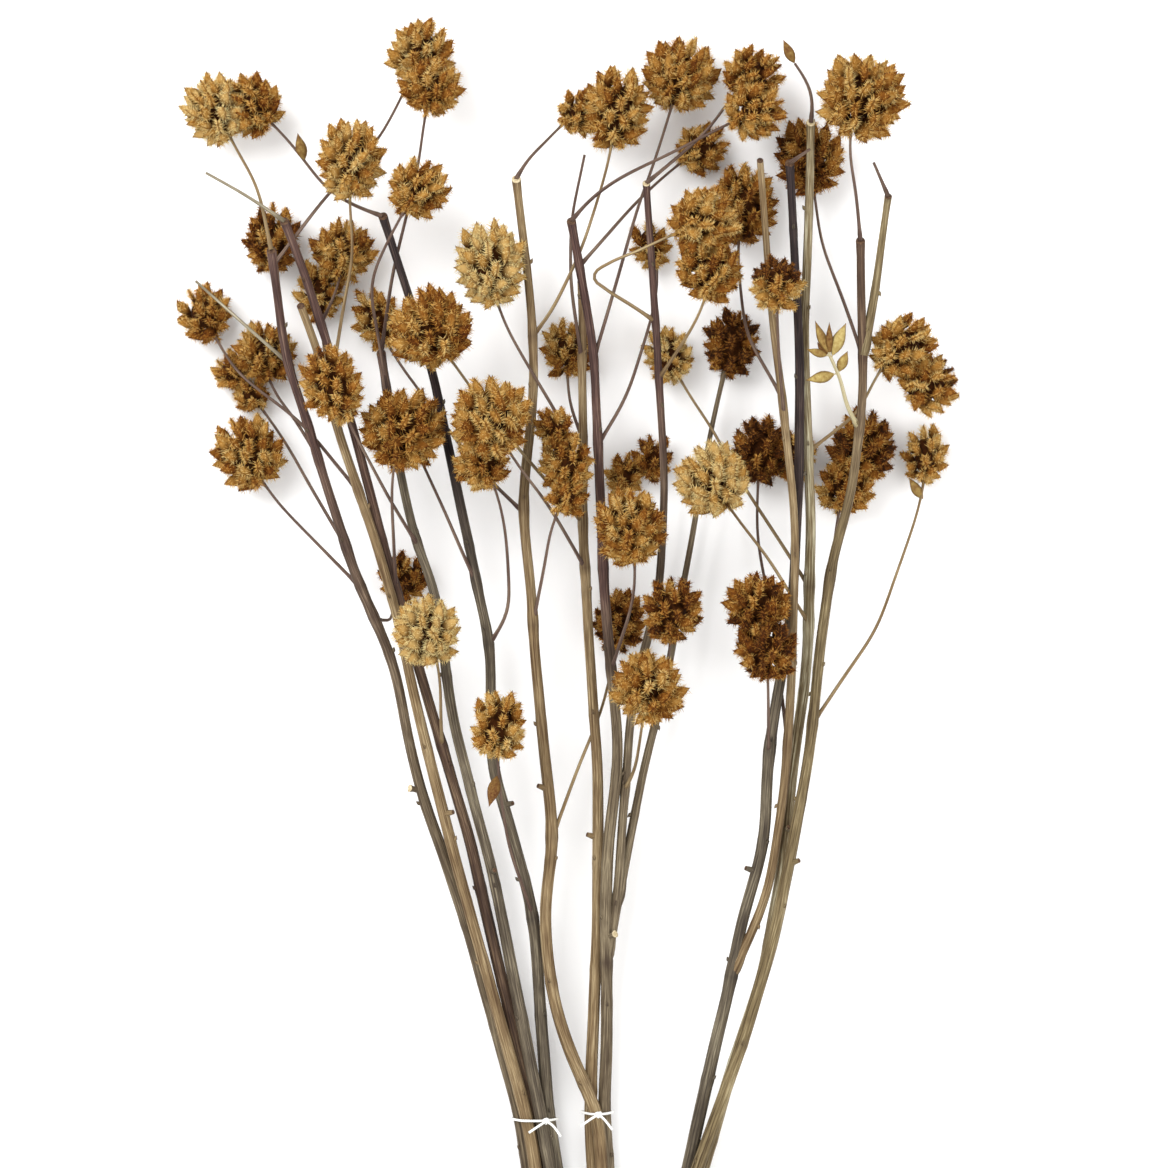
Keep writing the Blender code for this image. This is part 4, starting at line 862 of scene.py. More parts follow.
# What a node's input is given: another node's result, a plain number, or a colour as a screen shows it.
Socket = bpy.types.NodeSocket
Value = Union[Socket, float, tuple]


class Graph:
    """A material's nodes, added one by one in plain terms."""

    MIDDLE = (0.35, 0.65)  # the range in which most of a noise lies

    def __init__(self, name: str) -> None:
        """Starts a material with only its shader and output.

        Args:
            name: The material's name.
        """
        self.material = bpy.data.materials.new(name)
        self.material.use_nodes = True
        self.tree = self.material.node_tree
        self.shader = self.tree.nodes["Principled BSDF"]

    def join(self, value: Value, socket: Socket) -> None:
        """Links a result to an input, or sets the input to a plain value.

        Args:
            value: The result or the plain value.
            socket: The input.
        """
        if isinstance(value, Socket):
            self.tree.links.new(value, socket)
        else:
            socket.default_value = colour(*value) if isinstance(value, tuple) else value

    def carried(self, name: str, vector: bool = False) -> Socket:
        """Reads what each vertex carries.

        Args:
            name: Under which name.
            vector: Whether it is three numbers.

        Returns:
            The numbers.
        """
        node = self.tree.nodes.new("ShaderNodeAttribute")
        node.attribute_name = name
        return node.outputs["Vector" if vector else "Fac"]

    def place(self) -> Socket:
        """The point on the object, in metres."""
        return self.tree.nodes.new("ShaderNodeTexCoord").outputs["Object"]

    def noise(self, vector: Value, scale: float, detail: float = 3.0, rough: float = 0.55) -> Socket:
        """Adds smooth noise.

        Args:
            vector: Where it is read.
            scale: Its waves for each unit of that.
            detail: How many finer layers it has.
            rough: How strong they are.

        Returns:
            The noise, about 0.5.
        """
        node = self.tree.nodes.new("ShaderNodeTexNoise")
        self.join(vector, node.inputs["Vector"])
        node.inputs["Scale"].default_value = scale
        node.inputs["Detail"].default_value = detail
        node.inputs["Roughness"].default_value = rough
        return node.outputs["Fac"]

    def maths(self, operation: str, a: Value, b: Value) -> Socket:
        """Adds one sum of two numbers.

        Args:
            operation: Blender's name for it.
            a, b: The numbers.

        Returns:
            The result.
        """
        node = self.tree.nodes.new("ShaderNodeMath")
        node.operation = operation
        self.join(a, node.inputs[0])
        self.join(b, node.inputs[1])
        return node.outputs[0]

    def span(self, value: Value, low: float, high: float, to: tuple = (0.0, 1.0)) -> Socket:
        """Carries a value over from one range to another, held at their ends.

        Args:
            value: The value.
            low, high: The range that it comes from.
            to: The range that it goes to.

        Returns:
            The new value.
        """
        node = self.tree.nodes.new("ShaderNodeMapRange")
        for socket, number in zip(node.inputs, (value, low, high, *to)):
            self.join(number, socket)
        return node.outputs["Result"]

    def mix(self, share: Value, a: Value, b: Value) -> Socket:
        """Mixes two colours.

        Args:
            share: The share of the second.
            a, b: The colours.

        Returns:
            The mixed colour.
        """
        node = self.tree.nodes.new("ShaderNodeMix")
        node.data_type = "RGBA"
        inputs = [s for s in node.inputs if s.enabled]
        for socket, value in zip(inputs, (share, a, b)):
            self.join(value, socket)
        return next(s for s in node.outputs if s.enabled)

    def ramp(self, value: Value, stops: tuple) -> Socket:
        """Picks a colour between stops.

        Args:
            value: Where, from 0 to 1.
            stops: The place and colour of each stop.

        Returns:
            The colour.
        """
        node = self.tree.nodes.new("ShaderNodeValToRGB")
        self.join(value, node.inputs["Fac"])
        band = node.color_ramp
        while len(band.elements) < len(stops):
            band.elements.new(1.0)
        for element, (place, shade) in zip(band.elements, stops):
            element.position = place
            element.color = colour(*shade)
        return node.outputs["Color"]

    def finish(self, shade: Value, rough: float, relief: Optional[Socket] = None, height: float = 0.0003,
               strength: float = 0.6, gloss: float = 0.3) -> bpy.types.Material:
        """Joins colour, roughness and relief to the shader.

        Args:
            shade: The colour.
            rough: The roughness all over.
            relief: The relief, from 0 to 1, or None.
            height: How high 1 stands, in metres.
            strength: How strongly it shows.
            gloss: The level of the highlights; 0.5 is that of plain glass.

        Returns:
            The material.
        """
        self.join(shade, self.shader.inputs["Base Color"])
        self.shader.inputs["Roughness"].default_value = rough
        self.shader.inputs["Specular IOR Level"].default_value = gloss
        if relief is not None:
            bump = self.tree.nodes.new("ShaderNodeBump")
            bump.inputs["Strength"].default_value = strength
            bump.inputs["Distance"].default_value = height
            self.join(relief, bump.inputs["Height"])
            self.join(bump.outputs["Normal"], self.shader.inputs["Normal"])
        return self.material


@dataclass(frozen=True)
class Bark:
    """Dry, finely lined bark, whose young upper part and old lower part each have three colours.

    They are the colours of the furrows, of the bark between them and of the worn pale lines.
    """

    name: str
    young: tuple
    old: tuple
    pale_share: float = 0.55
    streak_scale: float = 1.3
    streak_share: float = 0.68
    blotch_scale: float = 26.0
    blotch_share: float = 0.32
    contrast: tuple = (0.36, 0.66)
    age_swing: float = 0.12
    line_scale: float = 4.2
    line_edge: tuple = (0.38, 0.56)
    line_depth: float = 0.65
    scar_depth: float = 0.8

    def material(self) -> bpy.types.Material:
        """Streaks are noise on the carried grain, which is stretched along the stem; tone 1 is young.

        Returns:
            The material.
        """
        graph = Graph(self.name)
        grain = graph.carried("grain", vector=True)
        streaks = graph.noise(grain, self.streak_scale)
        lines = graph.noise(grain, self.line_scale, detail=2.0)
        blotch = graph.noise(graph.place(), self.blotch_scale, detail=2.0)
        mixed = graph.maths("ADD", graph.maths("MULTIPLY", streaks, self.streak_share),
                            graph.maths("MULTIPLY", blotch, self.blotch_share))
        stops = (0.0, self.pale_share, 1.0)
        young, old = (graph.ramp(graph.span(mixed, *self.contrast), tuple(zip(stops, shades)))
                      for shades in (self.young, self.old))
        swing = graph.span(streaks, *Graph.MIDDLE, (-self.age_swing, self.age_swing))
        age = graph.maths("ADD", graph.carried("tone"), swing)
        shade = graph.mix(graph.span(age, 0.0, 1.0), old, young)
        furrow = graph.mix(graph.carried("tone"), self.old[0], self.young[0])
        lined = graph.mix(graph.span(lines, *self.line_edge, (self.line_depth, 0.0)), shade, furrow)
        scar = graph.maths("MULTIPLY", graph.carried("edge"), self.scar_depth)
        scarred = graph.mix(scar, lined, self.young[0])
        return graph.finish(scarred, 0.7, relief=streaks, height=0.0004, strength=0.4, gloss=0.16)


@dataclass(frozen=True)
class PodSkin:
    """The pods' smooth margins, tips and faces, from dark red-brown to straw by the carried tone, with
    painted shade at their roots.
    """

    name: str
    stops: tuple
    tip: tuple
    # root, root_share and root_reach: the painted shade that darkens each pod's foot, deep in the head.
    root: tuple
    root_share: float = 0.95
    root_reach: tuple = (0.20, 0.62)
    tip_share: float = 0.75
    tip_reach: tuple = (0.78, 0.98)
    rim_share: float = 0.7
    rim_power: float = 2.5
    mottle_scale: float = 420.0
    mottle_edge: tuple = (0.3, 0.7)
    tone_swing: float = 0.22

    def material(self) -> bpy.types.Material:
        """The tone, swung by fine mottling, picks the body; rims and tip fade into their colour, and the root
        into painted shade.

        Returns:
            The material.
        """
        graph = Graph(self.name)
        mottle = graph.noise(graph.place(), self.mottle_scale, detail=4.0, rough=0.65)
        swing = graph.span(mottle, *self.mottle_edge, (-self.tone_swing, self.tone_swing))
        body = graph.ramp(graph.maths("ADD", graph.carried("tone"), swing), self.stops)
        along = graph.carried("along")
        rim = graph.maths("POWER", graph.carried("edge"), self.rim_power)
        margin = graph.mix(graph.maths("MULTIPLY", rim, self.rim_share), body, self.tip)
        # Painted shade: towards its foot the pod falls to the root colour.
        root_shaded = graph.mix(graph.span(along, *self.root_reach, (self.root_share, 0.0)), margin, self.root)
        tipped = graph.mix(graph.span(along, *self.tip_reach, (0.0, self.tip_share)), root_shaded, self.tip)
        return graph.finish(tipped, 0.8, relief=mottle, height=0.0005, gloss=0.05)


@dataclass(frozen=True)
class Bristles:
    """The pods' bristles, darker at the root and pale at the end."""

    name: str
    stops: tuple
    root: tuple
    root_share: float = 0.5
    root_reach: float = 0.35

    def material(self) -> bpy.types.Material:
        """The tone picks the end's colour, mixed from the root's colour along the bristle.

        Returns:
            The material.
        """
        graph = Graph(self.name)
        ends = graph.ramp(graph.carried("tone"), self.stops)
        fade = graph.span(graph.carried("along"), 0.0, self.root_reach, (self.root_share, 0.0))
        return graph.finish(graph.mix(fade, ends, self.root), 0.8, gloss=0.05)


@dataclass(frozen=True)
class Plain:
    """A dry surface of one colour with mottling towards another, such as a core or a cut face."""

    name: str
    body: tuple
    mottled: tuple
    scale: float
    rough: float

    def material(self) -> bpy.types.Material:
        """Noise in place mixes the two colours and raises the surface a little.

        Returns:
            The material.
        """
        graph = Graph(self.name)
        mottle = graph.noise(graph.place(), self.scale, detail=4.0, rough=0.6)
        shade = graph.mix(graph.span(mottle, *Graph.MIDDLE), self.body, self.mottled)
        return graph.finish(shade, self.rough, relief=mottle, strength=0.5, gloss=0.08)


@dataclass(frozen=True)
class Twine:
    """White string with fine fibres."""

    name: str
    body: tuple
    fibre_scale: float = 2600.0

    def material(self) -> bpy.types.Material:
        """One colour all over; the fibres are fine noise in relief.

        Returns:
            The material.
        """
        graph = Graph(self.name)
        fibres = graph.noise(graph.place(), self.fibre_scale, detail=2.0)
        return graph.finish(self.body, 0.8, relief=fibres, height=0.0002)


Finish = Union[Bark, PodSkin, Bristles, Plain, Twine]

PLUM = ((44, 29, 28), (88, 65, 58), (134, 110, 94))
MAUVE = ((58, 42, 38), (106, 86, 74), (150, 130, 110))
DUSK = ((26, 20, 22), (54, 43, 42), (98, 82, 72))
BROWN = ((50, 36, 30), (94, 74, 58), (136, 114, 88))
GREY = ((60, 48, 36), (106, 93, 73), (150, 137, 110))
SLATE = ((54, 46, 38), (100, 90, 74), (150, 140, 116))
TAN = ((78, 58, 38), (136, 115, 83), (180, 162, 126))
OLIVE = ((66, 52, 34), (126, 110, 78), (174, 160, 124))
CREAM = ((78, 63, 40), (136, 121, 91), (228, 222, 190))
STRAW = ((84, 64, 42), (140, 118, 84), (188, 170, 130))
TORN = ((76, 66, 52), (134, 124, 102), (196, 188, 164))
FRESH = ((140, 126, 92), (182, 172, 138), (216, 210, 184))
DARK_BARK = Bark("dark_bark", DUSK, SLATE)
SLATE_BARK = Bark("slate_bark", PLUM, SLATE)
PLUM_BARK = Bark("plum_bark", PLUM, BROWN)
GREY_BARK = Bark("grey_bark", PLUM, GREY)
TAN_BARK = Bark("tan_bark", BROWN, TAN)
OLIVE_BARK = Bark("olive_bark", BROWN, OLIVE)
STRIPED_BARK = Bark("striped_bark", BROWN, CREAM, 0.45)
BROWN_TWIG = Bark("brown_twig", MAUVE, MAUVE)
STRAW_TWIG = Bark("straw_twig", STRAW, STRAW)
PALE_STRIP = Bark("pale_strip", TORN, TORN)
FRESH_STALK = Bark("fresh_stalk", FRESH, FRESH)
PALE_WOOD = Plain("pale_wood", (212, 198, 166), (164, 144, 106), 700.0, 0.8)
DARK_WOOD = Plain("dark_wood", (60, 44, 38), (104, 80, 60), 700.0, 0.8)
# The core's own dark brown, darkened further as painted shade in the gaps between the pods.
CORE_WITH_GAP_SHADE = Plain("head_core", (36, 16, 3), (62, 31, 6), 500.0, 0.9)
FRESH_STOPS = ((0.0, (84, 50, 30)), (0.25, (122, 92, 52)), (0.5, (152, 130, 76)),
               (0.75, (176, 158, 102)), (1.0, (196, 180, 126)))
# The fresh pods' root colour is a faint painted shade at their feet.
FRESH_POD = PodSkin("fresh_pod", FRESH_STOPS, (96, 62, 34), (118, 92, 48), 0.3)
POD_STOPS = ((0.0, (40, 22, 10)), (0.12, (76, 38, 10)), (0.36, (124, 78, 28)),
             (0.64, (156, 116, 56)), (1.0, (178, 146, 90)))
# Its root colour, (50, 22, 4), is the painted shade deep in the head at the pods' feet.
POD_SKIN = PodSkin("pod_skin", POD_STOPS, (66, 34, 10), (50, 22, 4))
BRISTLE_STOPS = ((0.0, (104, 66, 34)), (0.12, (148, 94, 38)), (0.36, (204, 154, 76)),
                 (0.64, (222, 188, 118)), (1.0, (226, 206, 146)))
BRISTLE = Bristles("bristles", BRISTLE_STOPS, (120, 74, 24))
TWINE = Twine("white_twine", (240, 240, 236))

BARK_OF = {"left_1": GREY_BARK, "left_2": TAN_BARK, "left_3": PLUM_BARK, "left_4": SLATE_BARK,
           "left_5": DARK_BARK, "middle_1": TAN_BARK, "middle_2": TAN_BARK, "middle_3": GREY_BARK,
           "right_1": DARK_BARK, "right_3": STRIPED_BARK, "right_4": OLIVE_BARK,
           "middle_3_limb": GREY_BARK, "middle_3_side": GREY_BARK, "right_1_limb": TAN_BARK,
           "right_4_limb": OLIVE_BARK}
# Where up the sheaf a stem turns from its old colours to its young ones; the others are old all along.
YOUNG_FROM = {"left_1": (-60, 170), "left_3": (10, 190), "left_4": (120, 210), "left_5": (20, 150),
              "middle_3": (-10, 60), "right_1": (0, 110), "right_4": (80, 200), "middle_3_limb": (40, 190)}
PALE_TOPS = ("middle_1", "middle_3_limb", "right_3")
STRIP_TWIGS = ("left_3_twig_281", "left_1_twig_197")
STRAW_TWIG_HEADS = ("1", "4", "7b", "12", "20", "27", "33", "34", "38", "41", "44", "45", "48", "51")
TAN_STEMS = ("middle_1", "middle_2", "right_3", "right_4")
PALE_NODES = ("head_pale_peak", "head_pale_left", "head_pale_right", "heads_right_inner")


@lru_cache(maxsize=None)
def material_of(finish: Finish) -> bpy.types.Material:
    """A finish's material, which is made when it is first asked for."""
    return finish.material()


# What every vertex carries for the finishes, and of how many numbers it is.
CARRIED = {"tone": 1, "along": 1, "edge": 1, "grain": 3}


def ring_faces(rings: int, sides: int) -> tuple[Array, Array]:
    """The faces of a closed shape of rings between two poles, numbered start pole, rings in turn, end pole.

    Args:
        rings: How many rings.
        sides: How many points each has.

    Returns:
        The quads between rings, ring by ring, and the triangles at the start and the end.
    """
    i, j = np.meshgrid(np.arange(rings - 1), np.arange(sides), indexing="ij")
    following = (j + 1) % sides
    near, far = 1 + i * sides, 1 + (i + 1) * sides
    quads = np.stack([near + j, near + following, far + following, far + j], -1).reshape(-1, 4)
    k = np.arange(sides)
    after = (k + 1) % sides
    last = 1 + (rings - 1) * sides
    start = np.stack([np.zeros_like(k), 1 + after, 1 + k], -1)
    end = np.stack([last + k, last + after, np.full_like(k, 1 + rings * sides)], -1)
    return quads, np.concatenate([start, end])


class Surface:
    """Gathers points, faces and what each point carries, and makes one mesh of them."""

    def __init__(self, name: str) -> None:
        """Starts empty.

        Args:
            name: What the piece is called.
        """
        self.name = name
        self.finishes: dict[Finish, int] = {}
        self.count = 0
        self.points: list[Array] = []
        self.faces: dict[int, list[Array]] = {3: [], 4: []}
        self.slots: dict[int, list[Array]] = {3: [], 4: []}
        self.carried: dict[str, list[Array]] = {name: [] for name in CARRIED}

    def add(self, points: Array, faces: list[Array], finishes: list[Finish],
            **carried: Array) -> None:
        """Adds one shape, or many alike.

        Args:
            points: Shapes by points by three, in mm.
            faces: Arrays of triangles or quads of one shape.
            finishes: The finish of each array of faces; the last is also that of any more.
            carried: What the points carry, each in a form that fits shapes by points.
        """
        shapes, size = points.shape[:2]
        start = self.count + size * np.arange(shapes)[:, None, None]
        for k, array in enumerate(faces):
            corners = array.shape[1]
            finish = finishes[min(k, len(finishes) - 1)]
            slot = self.finishes.setdefault(finish, len(self.finishes))
            self.faces[corners].append((array[None] + start).reshape(-1, corners))
            self.slots[corners].append(np.full(shapes * len(array), slot))
        for name, width in CARRIED.items():
            shape = (shapes, size) if width == 1 else (shapes, size, width)
            value = np.broadcast_to(np.asarray(carried.get(name, 0.0), float), shape)
            self.carried[name].append(value.reshape(-1, width))
        self.points.append(points.reshape(-1, 3))
        self.count += shapes * size

    def mesh(self) -> bpy.types.Mesh:
        """Makes the mesh, its points held just inside the solids' box, and dresses it.

        Returns:
            The mesh.
        """
        margin = np.array([[BOX_MARGIN], [-BOX_MARGIN]]) * MM
        points = np.clip(np.concatenate(self.points) * MM, *(CAD_BOX + margin))
        mesh = bpy.data.meshes.new(self.name)
        mesh.vertices.add(len(points))
        mesh.vertices.foreach_set("co", points.ravel())
        corners, starts, slots, done = [], [], [], 0
        for size in (3, 4):
            if self.faces[size]:
                faces = np.concatenate(self.faces[size])
                corners.append(faces.ravel())
                starts.append(done + size * np.arange(len(faces)))
                slots.append(np.concatenate(self.slots[size]))
                done += faces.size
        mesh.loops.add(done)
        mesh.loops.foreach_set("vertex_index", np.concatenate(corners).astype(np.int32))
        starts = np.concatenate(starts).astype(np.int32)
        mesh.polygons.add(len(starts))
        mesh.polygons.foreach_set("loop_start", starts)
        mesh.polygons.foreach_set("material_index", np.concatenate(slots).astype(np.int32))
        mesh.polygons.foreach_set("use_smooth", np.ones(len(starts), bool))
        for name, width in CARRIED.items():
            kind = "FLOAT" if width == 1 else "FLOAT_VECTOR"
            attribute = mesh.attributes.new(name, kind, "POINT")
            values = np.concatenate(self.carried[name]).astype(np.float32).ravel()
            attribute.data.foreach_set("value" if width == 1 else "vector", values)
        for finish in self.finishes:
            mesh.materials.append(material_of(finish))
        mesh.update(calc_edges=True)
        return mesh

    def piece(self, node: str, slot: str) -> None:
        """Makes the piece and puts it in the node's place.

        Args:
            node: The CAD node that the piece stands for.
            slot: The record's material slot; not used.
        """
        mesh = self.mesh()
        piece = bpy.data.objects.new(self.name, mesh)
        bpy.context.scene.collection.objects.link(piece)
        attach(piece, BODY)
        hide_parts(node)
        LOG.info("%s: %d faces", self.name, len(mesh.polygons))


class Cut(Enum):
    """How a rod's far end is finished: its slant in radii, and its inner ring as a share of the rim."""

    FLAT = (0.1, 0.62)  # sawn straight across
    SLANT = (0.9, 0.62)  # cut at a slant, its face turned up
    WORN = (0.0, 0.3)  # worn to a blunt point


@dataclass
class Rod:
    """A ridged rod carried along a smooth path, such as a stem, a twig or a string.

    The path passes through the points; between two of them it is a cubic whose slope at a point is the mean
    of the two steps' directions. Around it the radius is that of the place along the path, times one plus
    ridges that are a cosine of the angle, times one plus a bell-shaped swelling at each node. A swelling is
    its place along the path, its height as a share of the radius, and its reach.
    """

    points: Array
    radii: Array
    finish: Finish
    cut_finish: Finish = DARK_WOOD
    sides: int = 16
    ridges: int = 8
    ridge_height: float = 0.045
    flatness: float = 1.0
    step: float = 5.0
    twist: float = 0.004
    swellings: list[tuple[float, float, float]] = field(default_factory=list)
    end: Cut = Cut.FLAT
    phase: float = 0.0
    young_from: tuple[float, float] = (900.0, 901.0)
    eased: float = 0.0
    easing_rounds: int = 14
    easing: float = 0.25
    fine_ridges: float = 0.6
    fine_turn: float = 0.05
    scar_reach: float = 1.6
    scar_strength: float = 3.0
    steepest: float = 0.9
    grain_reach: float = 3.0
    grain_length: float = 40.0
    grain_shift: float = 7.3

    def places(self) -> tuple[Array, Array, Array]:
        """Samples the path.

        Returns:
            The centres, how far along each lies in mm, and the unit directions there.
        """
        steps = np.diff(self.points, axis=0)
        lengths = np.linalg.norm(steps, axis=1)
        walked = walked_along(self.points)
        ways = unit(steps)
        slopes = unit(np.vstack([ways[:1], ways[:-1] + ways[1:], ways[-1:]]))
        along = np.linspace(0.0, walked[-1], max(3, math.ceil(walked[-1] / self.step) + 1))
        k = np.clip(np.searchsorted(walked, along, side="right") - 1, 0, len(lengths) - 1)
        size = lengths[k][:, None]
        t = ((along - walked[k]) / lengths[k])[:, None]
        start, end = self.points[k], self.points[k + 1]
        centres = (start * (2 * t ** 3 - 3 * t ** 2 + 1) + slopes[k] * size * (t ** 3 - 2 * t ** 2 + t)
                   + end * (3 * t ** 2 - 2 * t ** 3) + slopes[k + 1] * size * (t ** 3 - t ** 2))
        centres = self.straightened(centres)
        return centres, along, unit(np.gradient(centres, axis=0))

    def straightened(self, centres: Array) -> Array:
        """Draws each sample towards the mean of its neighbours, round after round, between fixed ends.

        Args:
            centres: The path's samples.

        Returns:
            The samples, none more than the eased distance from where it was.
        """
        moved = centres.copy()
        for _ in range(self.easing_rounds):
            moved[1:-1] += self.easing * (moved[:-2] - 2.0 * moved[1:-1] + moved[2:])
        shift = moved - centres
        length = np.linalg.norm(shift, axis=1, keepdims=True)
        return centres + shift * np.minimum(1.0, self.eased / np.maximum(length, TINY))

    def relief(self, along: Array) -> tuple[Array, Array]:
        """The radius along the path with its swellings, and the dark scars, which are narrower bells there.

        Args:
            along: How far along the path each sample lies.

        Returns:
            The radius and the scar's strength, from 0 to 1, at each sample.
        """
        radii = np.interp(along, walked_along(self.points), self.radii)
        scar = np.zeros_like(along)
        for place, height, reach in self.swellings:
            radii = radii * (1.0 + height * np.exp(-((along - place) / reach) ** 2))
            bell = np.exp(-((along - place) / self.scar_reach) ** 2)
            scar = np.maximum(scar, bell * min(1.0, self.scar_strength * abs(height)))
        return radii, scar

    def rings(self, centres: Array, along: Array, ways: Array,
              radii: Array) -> Array:
        """Sets a ridged ring square to the path at each sample, its first point as high up as it can be.

        Finer ridges, more than twice as many, run over the main ones and turn slowly against them.

        Args:
            centres, along, ways: The samples, as places gives them.
            radii: The radius at each.

        Returns:
            Samples by points by three.
        """
        axis = np.eye(3)[np.abs(ways).max(0).argmin()]
        if np.abs(ways[:, 2]).max() < self.steepest:
            axis = np.array([0.0, 0.0, 1.0])
        upward = unit(axis - ways * (ways @ axis)[:, None])
        sideways = np.cross(ways, upward)
        angle = ring_angles(self.sides)
        turn = angle[None] + self.twist * along[:, None] + self.phase
        fine = (2 * self.ridges + 1) * turn + self.fine_turn * along[:, None]
        profile = 1.0 + self.ridge_height * np.cos(self.ridges * turn)
        profile += self.fine_ridges * self.ridge_height * np.cos(fine)
        out = (np.cos(angle)[None, :, None] * upward[:, None] * self.flatness
               + np.sin(angle)[None, :, None] * sideways[:, None])
        return centres[:, None] + radii[:, None, None] * profile[..., None] * out

    def grain(self, line: Array) -> Array:
        """Where each point lies in the bark's grain: on a circle round the rod, and slowly along it.

        Args:
            line: How far along the path each ring lies.

        Returns:
            Three numbers for each point, the poles' first and last.
        """
        angle = ring_angles(self.sides)
        shape = (len(line), self.sides)
        ahead = line[:, None] / self.grain_length + self.grain_shift * self.phase
        grain = np.stack([np.broadcast_to(self.grain_reach * np.cos(angle), shape),
                          np.broadcast_to(self.grain_reach * np.sin(angle), shape),
                          np.broadcast_to(ahead, shape)], -1)
        poles = np.array([[0.0, 0.0, line[0]], [0.0, 0.0, line[-1]]]) / self.grain_length
        return np.concatenate([poles[:1], grain.reshape(-1, 3), poles[1:]])

    def add_to(self, surface: Surface) -> None:
        """Adds the rod, closed at both ends by a rim, an inner ring and a pole.

        Args:
            surface: What it is added to.
        """
        centres, along, ways = self.places()
        radii, scar = self.relief(along)
        rings = self.rings(centres, along, ways, radii)
        slant, narrow = self.end.value
        rings[-1] -= ways[-1] * (slant * radii[-1] * np.cos(ring_angles(self.sides)))[:, None]
        middle = rings[-1].mean(0)
        inner_end = middle + (rings[-1] - middle) * narrow
        inner_start = centres[0] + (rings[0] - centres[0]) * Cut.FLAT.value[1]
        rings = np.concatenate([inner_start[None], rings, inner_end[None]])
        points = np.concatenate([[centres[0]], rings.reshape(-1, 3), [middle]])
        quads, triangles = ring_faces(len(rings), self.sides)
        skin, rims = quads[self.sides:-self.sides], np.concatenate([quads[:self.sides], quads[-self.sides:]])
        grain = self.grain(np.concatenate([along[:1], along, along[-1:]]))
        marks = np.concatenate([[0.0], np.repeat(np.concatenate([[0.0], scar, [0.0]]), self.sides), [0.0]])
        low, high = self.young_from
        young = np.clip((points[:, 1] - low) / (high - low), 0.0, 1.0)
        surface.add(points[None], [skin, rims, triangles], [self.finish, self.cut_finish],
                    grain=grain[None], edge=marks[None], tone=young[None])


@dataclass(frozen=True)
class PodShape:
    """A flattened, pointed pod as rings of six between two poles.

    Along the pod, from 0 to 1, its half-width is the sine of pi times the place to the power 0.8, itself to
    the power 1.2, which draws the tip out. Across, it is a lens with a keel along each edge. It bends
    towards its upper edge by the square of the place.
    """

    length: float = 15.5
    half_width: float = 4.3
    half_depth: float = 1.9
    rings: int = 6
    bend: float = 0.10

    SIDES = 6
    FIRST_RING = 0.05
    LAST_RING = 0.92
    MIDDLE_BACK = 0.8  # under 1, this sets the widest place nearer to the root
    TIP_DRAWN = 1.2
    DEPTH_POWER = 0.8
    KEEL = 0.9  # a corner further out than this lies on a keel
    SHOULDER = 0.96  # how far the other corners are drawn in

    def spread(self, u: Array) -> Array:
        """The half-width at a place along the pod, as a share of the widest."""
        return np.sin(np.pi * np.clip(u, 0.0, 1.0) ** self.MIDDLE_BACK) ** self.TIP_DRAWN

    def grid(self) -> tuple[Array, Array, Array, list[Array]]:
        """One pod in shares of its sizes: along, across its width and across its depth.

        Returns:
            The points, the place along of each, how near its edge each is, and the faces.
        """
        u = np.linspace(self.FIRST_RING, self.LAST_RING, self.rings)
        angle = ring_angles(self.SIDES)
        across, deep = np.cos(angle), np.sin(angle) / math.sin(math.tau / self.SIDES)
        keel = np.abs(across) > self.KEEL
        across = np.where(keel, across, across * self.SHOULDER)
        wide = self.spread(u)[:, None] * across
        thick = self.spread(u)[:, None] ** self.DEPTH_POWER * deep
        ring = np.stack([np.broadcast_to(u[:, None], wide.shape), wide, thick], -1).reshape(-1, 3)
        points = np.concatenate([[[0.0, 0.0, 0.0]], ring, [[1.0, 0.0, 0.0]]])
        edge = np.concatenate([[0.0], np.tile(keel, self.rings), [1.0]])
        return points, points[:, 0], edge, list(ring_faces(self.rings, self.SIDES))


@dataclass(frozen=True)
class BristleRule:
    """How bristles stand on a pod's two faces; lengths in mm, angles in radians.

    A root is a random place on a face, further apart in the middle than near the edges. A way mixes the
    pod's long way, the way to the nearer edge and the face's outward way. Bristles shorten towards the tip.
    """

    count: int = 80
    radius: float = 0.20
    longest: float = 5.0
    shortest_share: float = 0.5
    taper: tuple = (1.25, 0.6)
    places: tuple = (0.30, 0.90)
    crowding: float = 1.5
    reach_across: float = 0.95
    face_fall: tuple = (0.9, 1.6)
    sunk: float = 0.88
    way: tuple = (0.50, 0.65, 0.62)
    sway: tuple = (0.3, 0.35, 0.25)
    tone_swing: float = 0.22


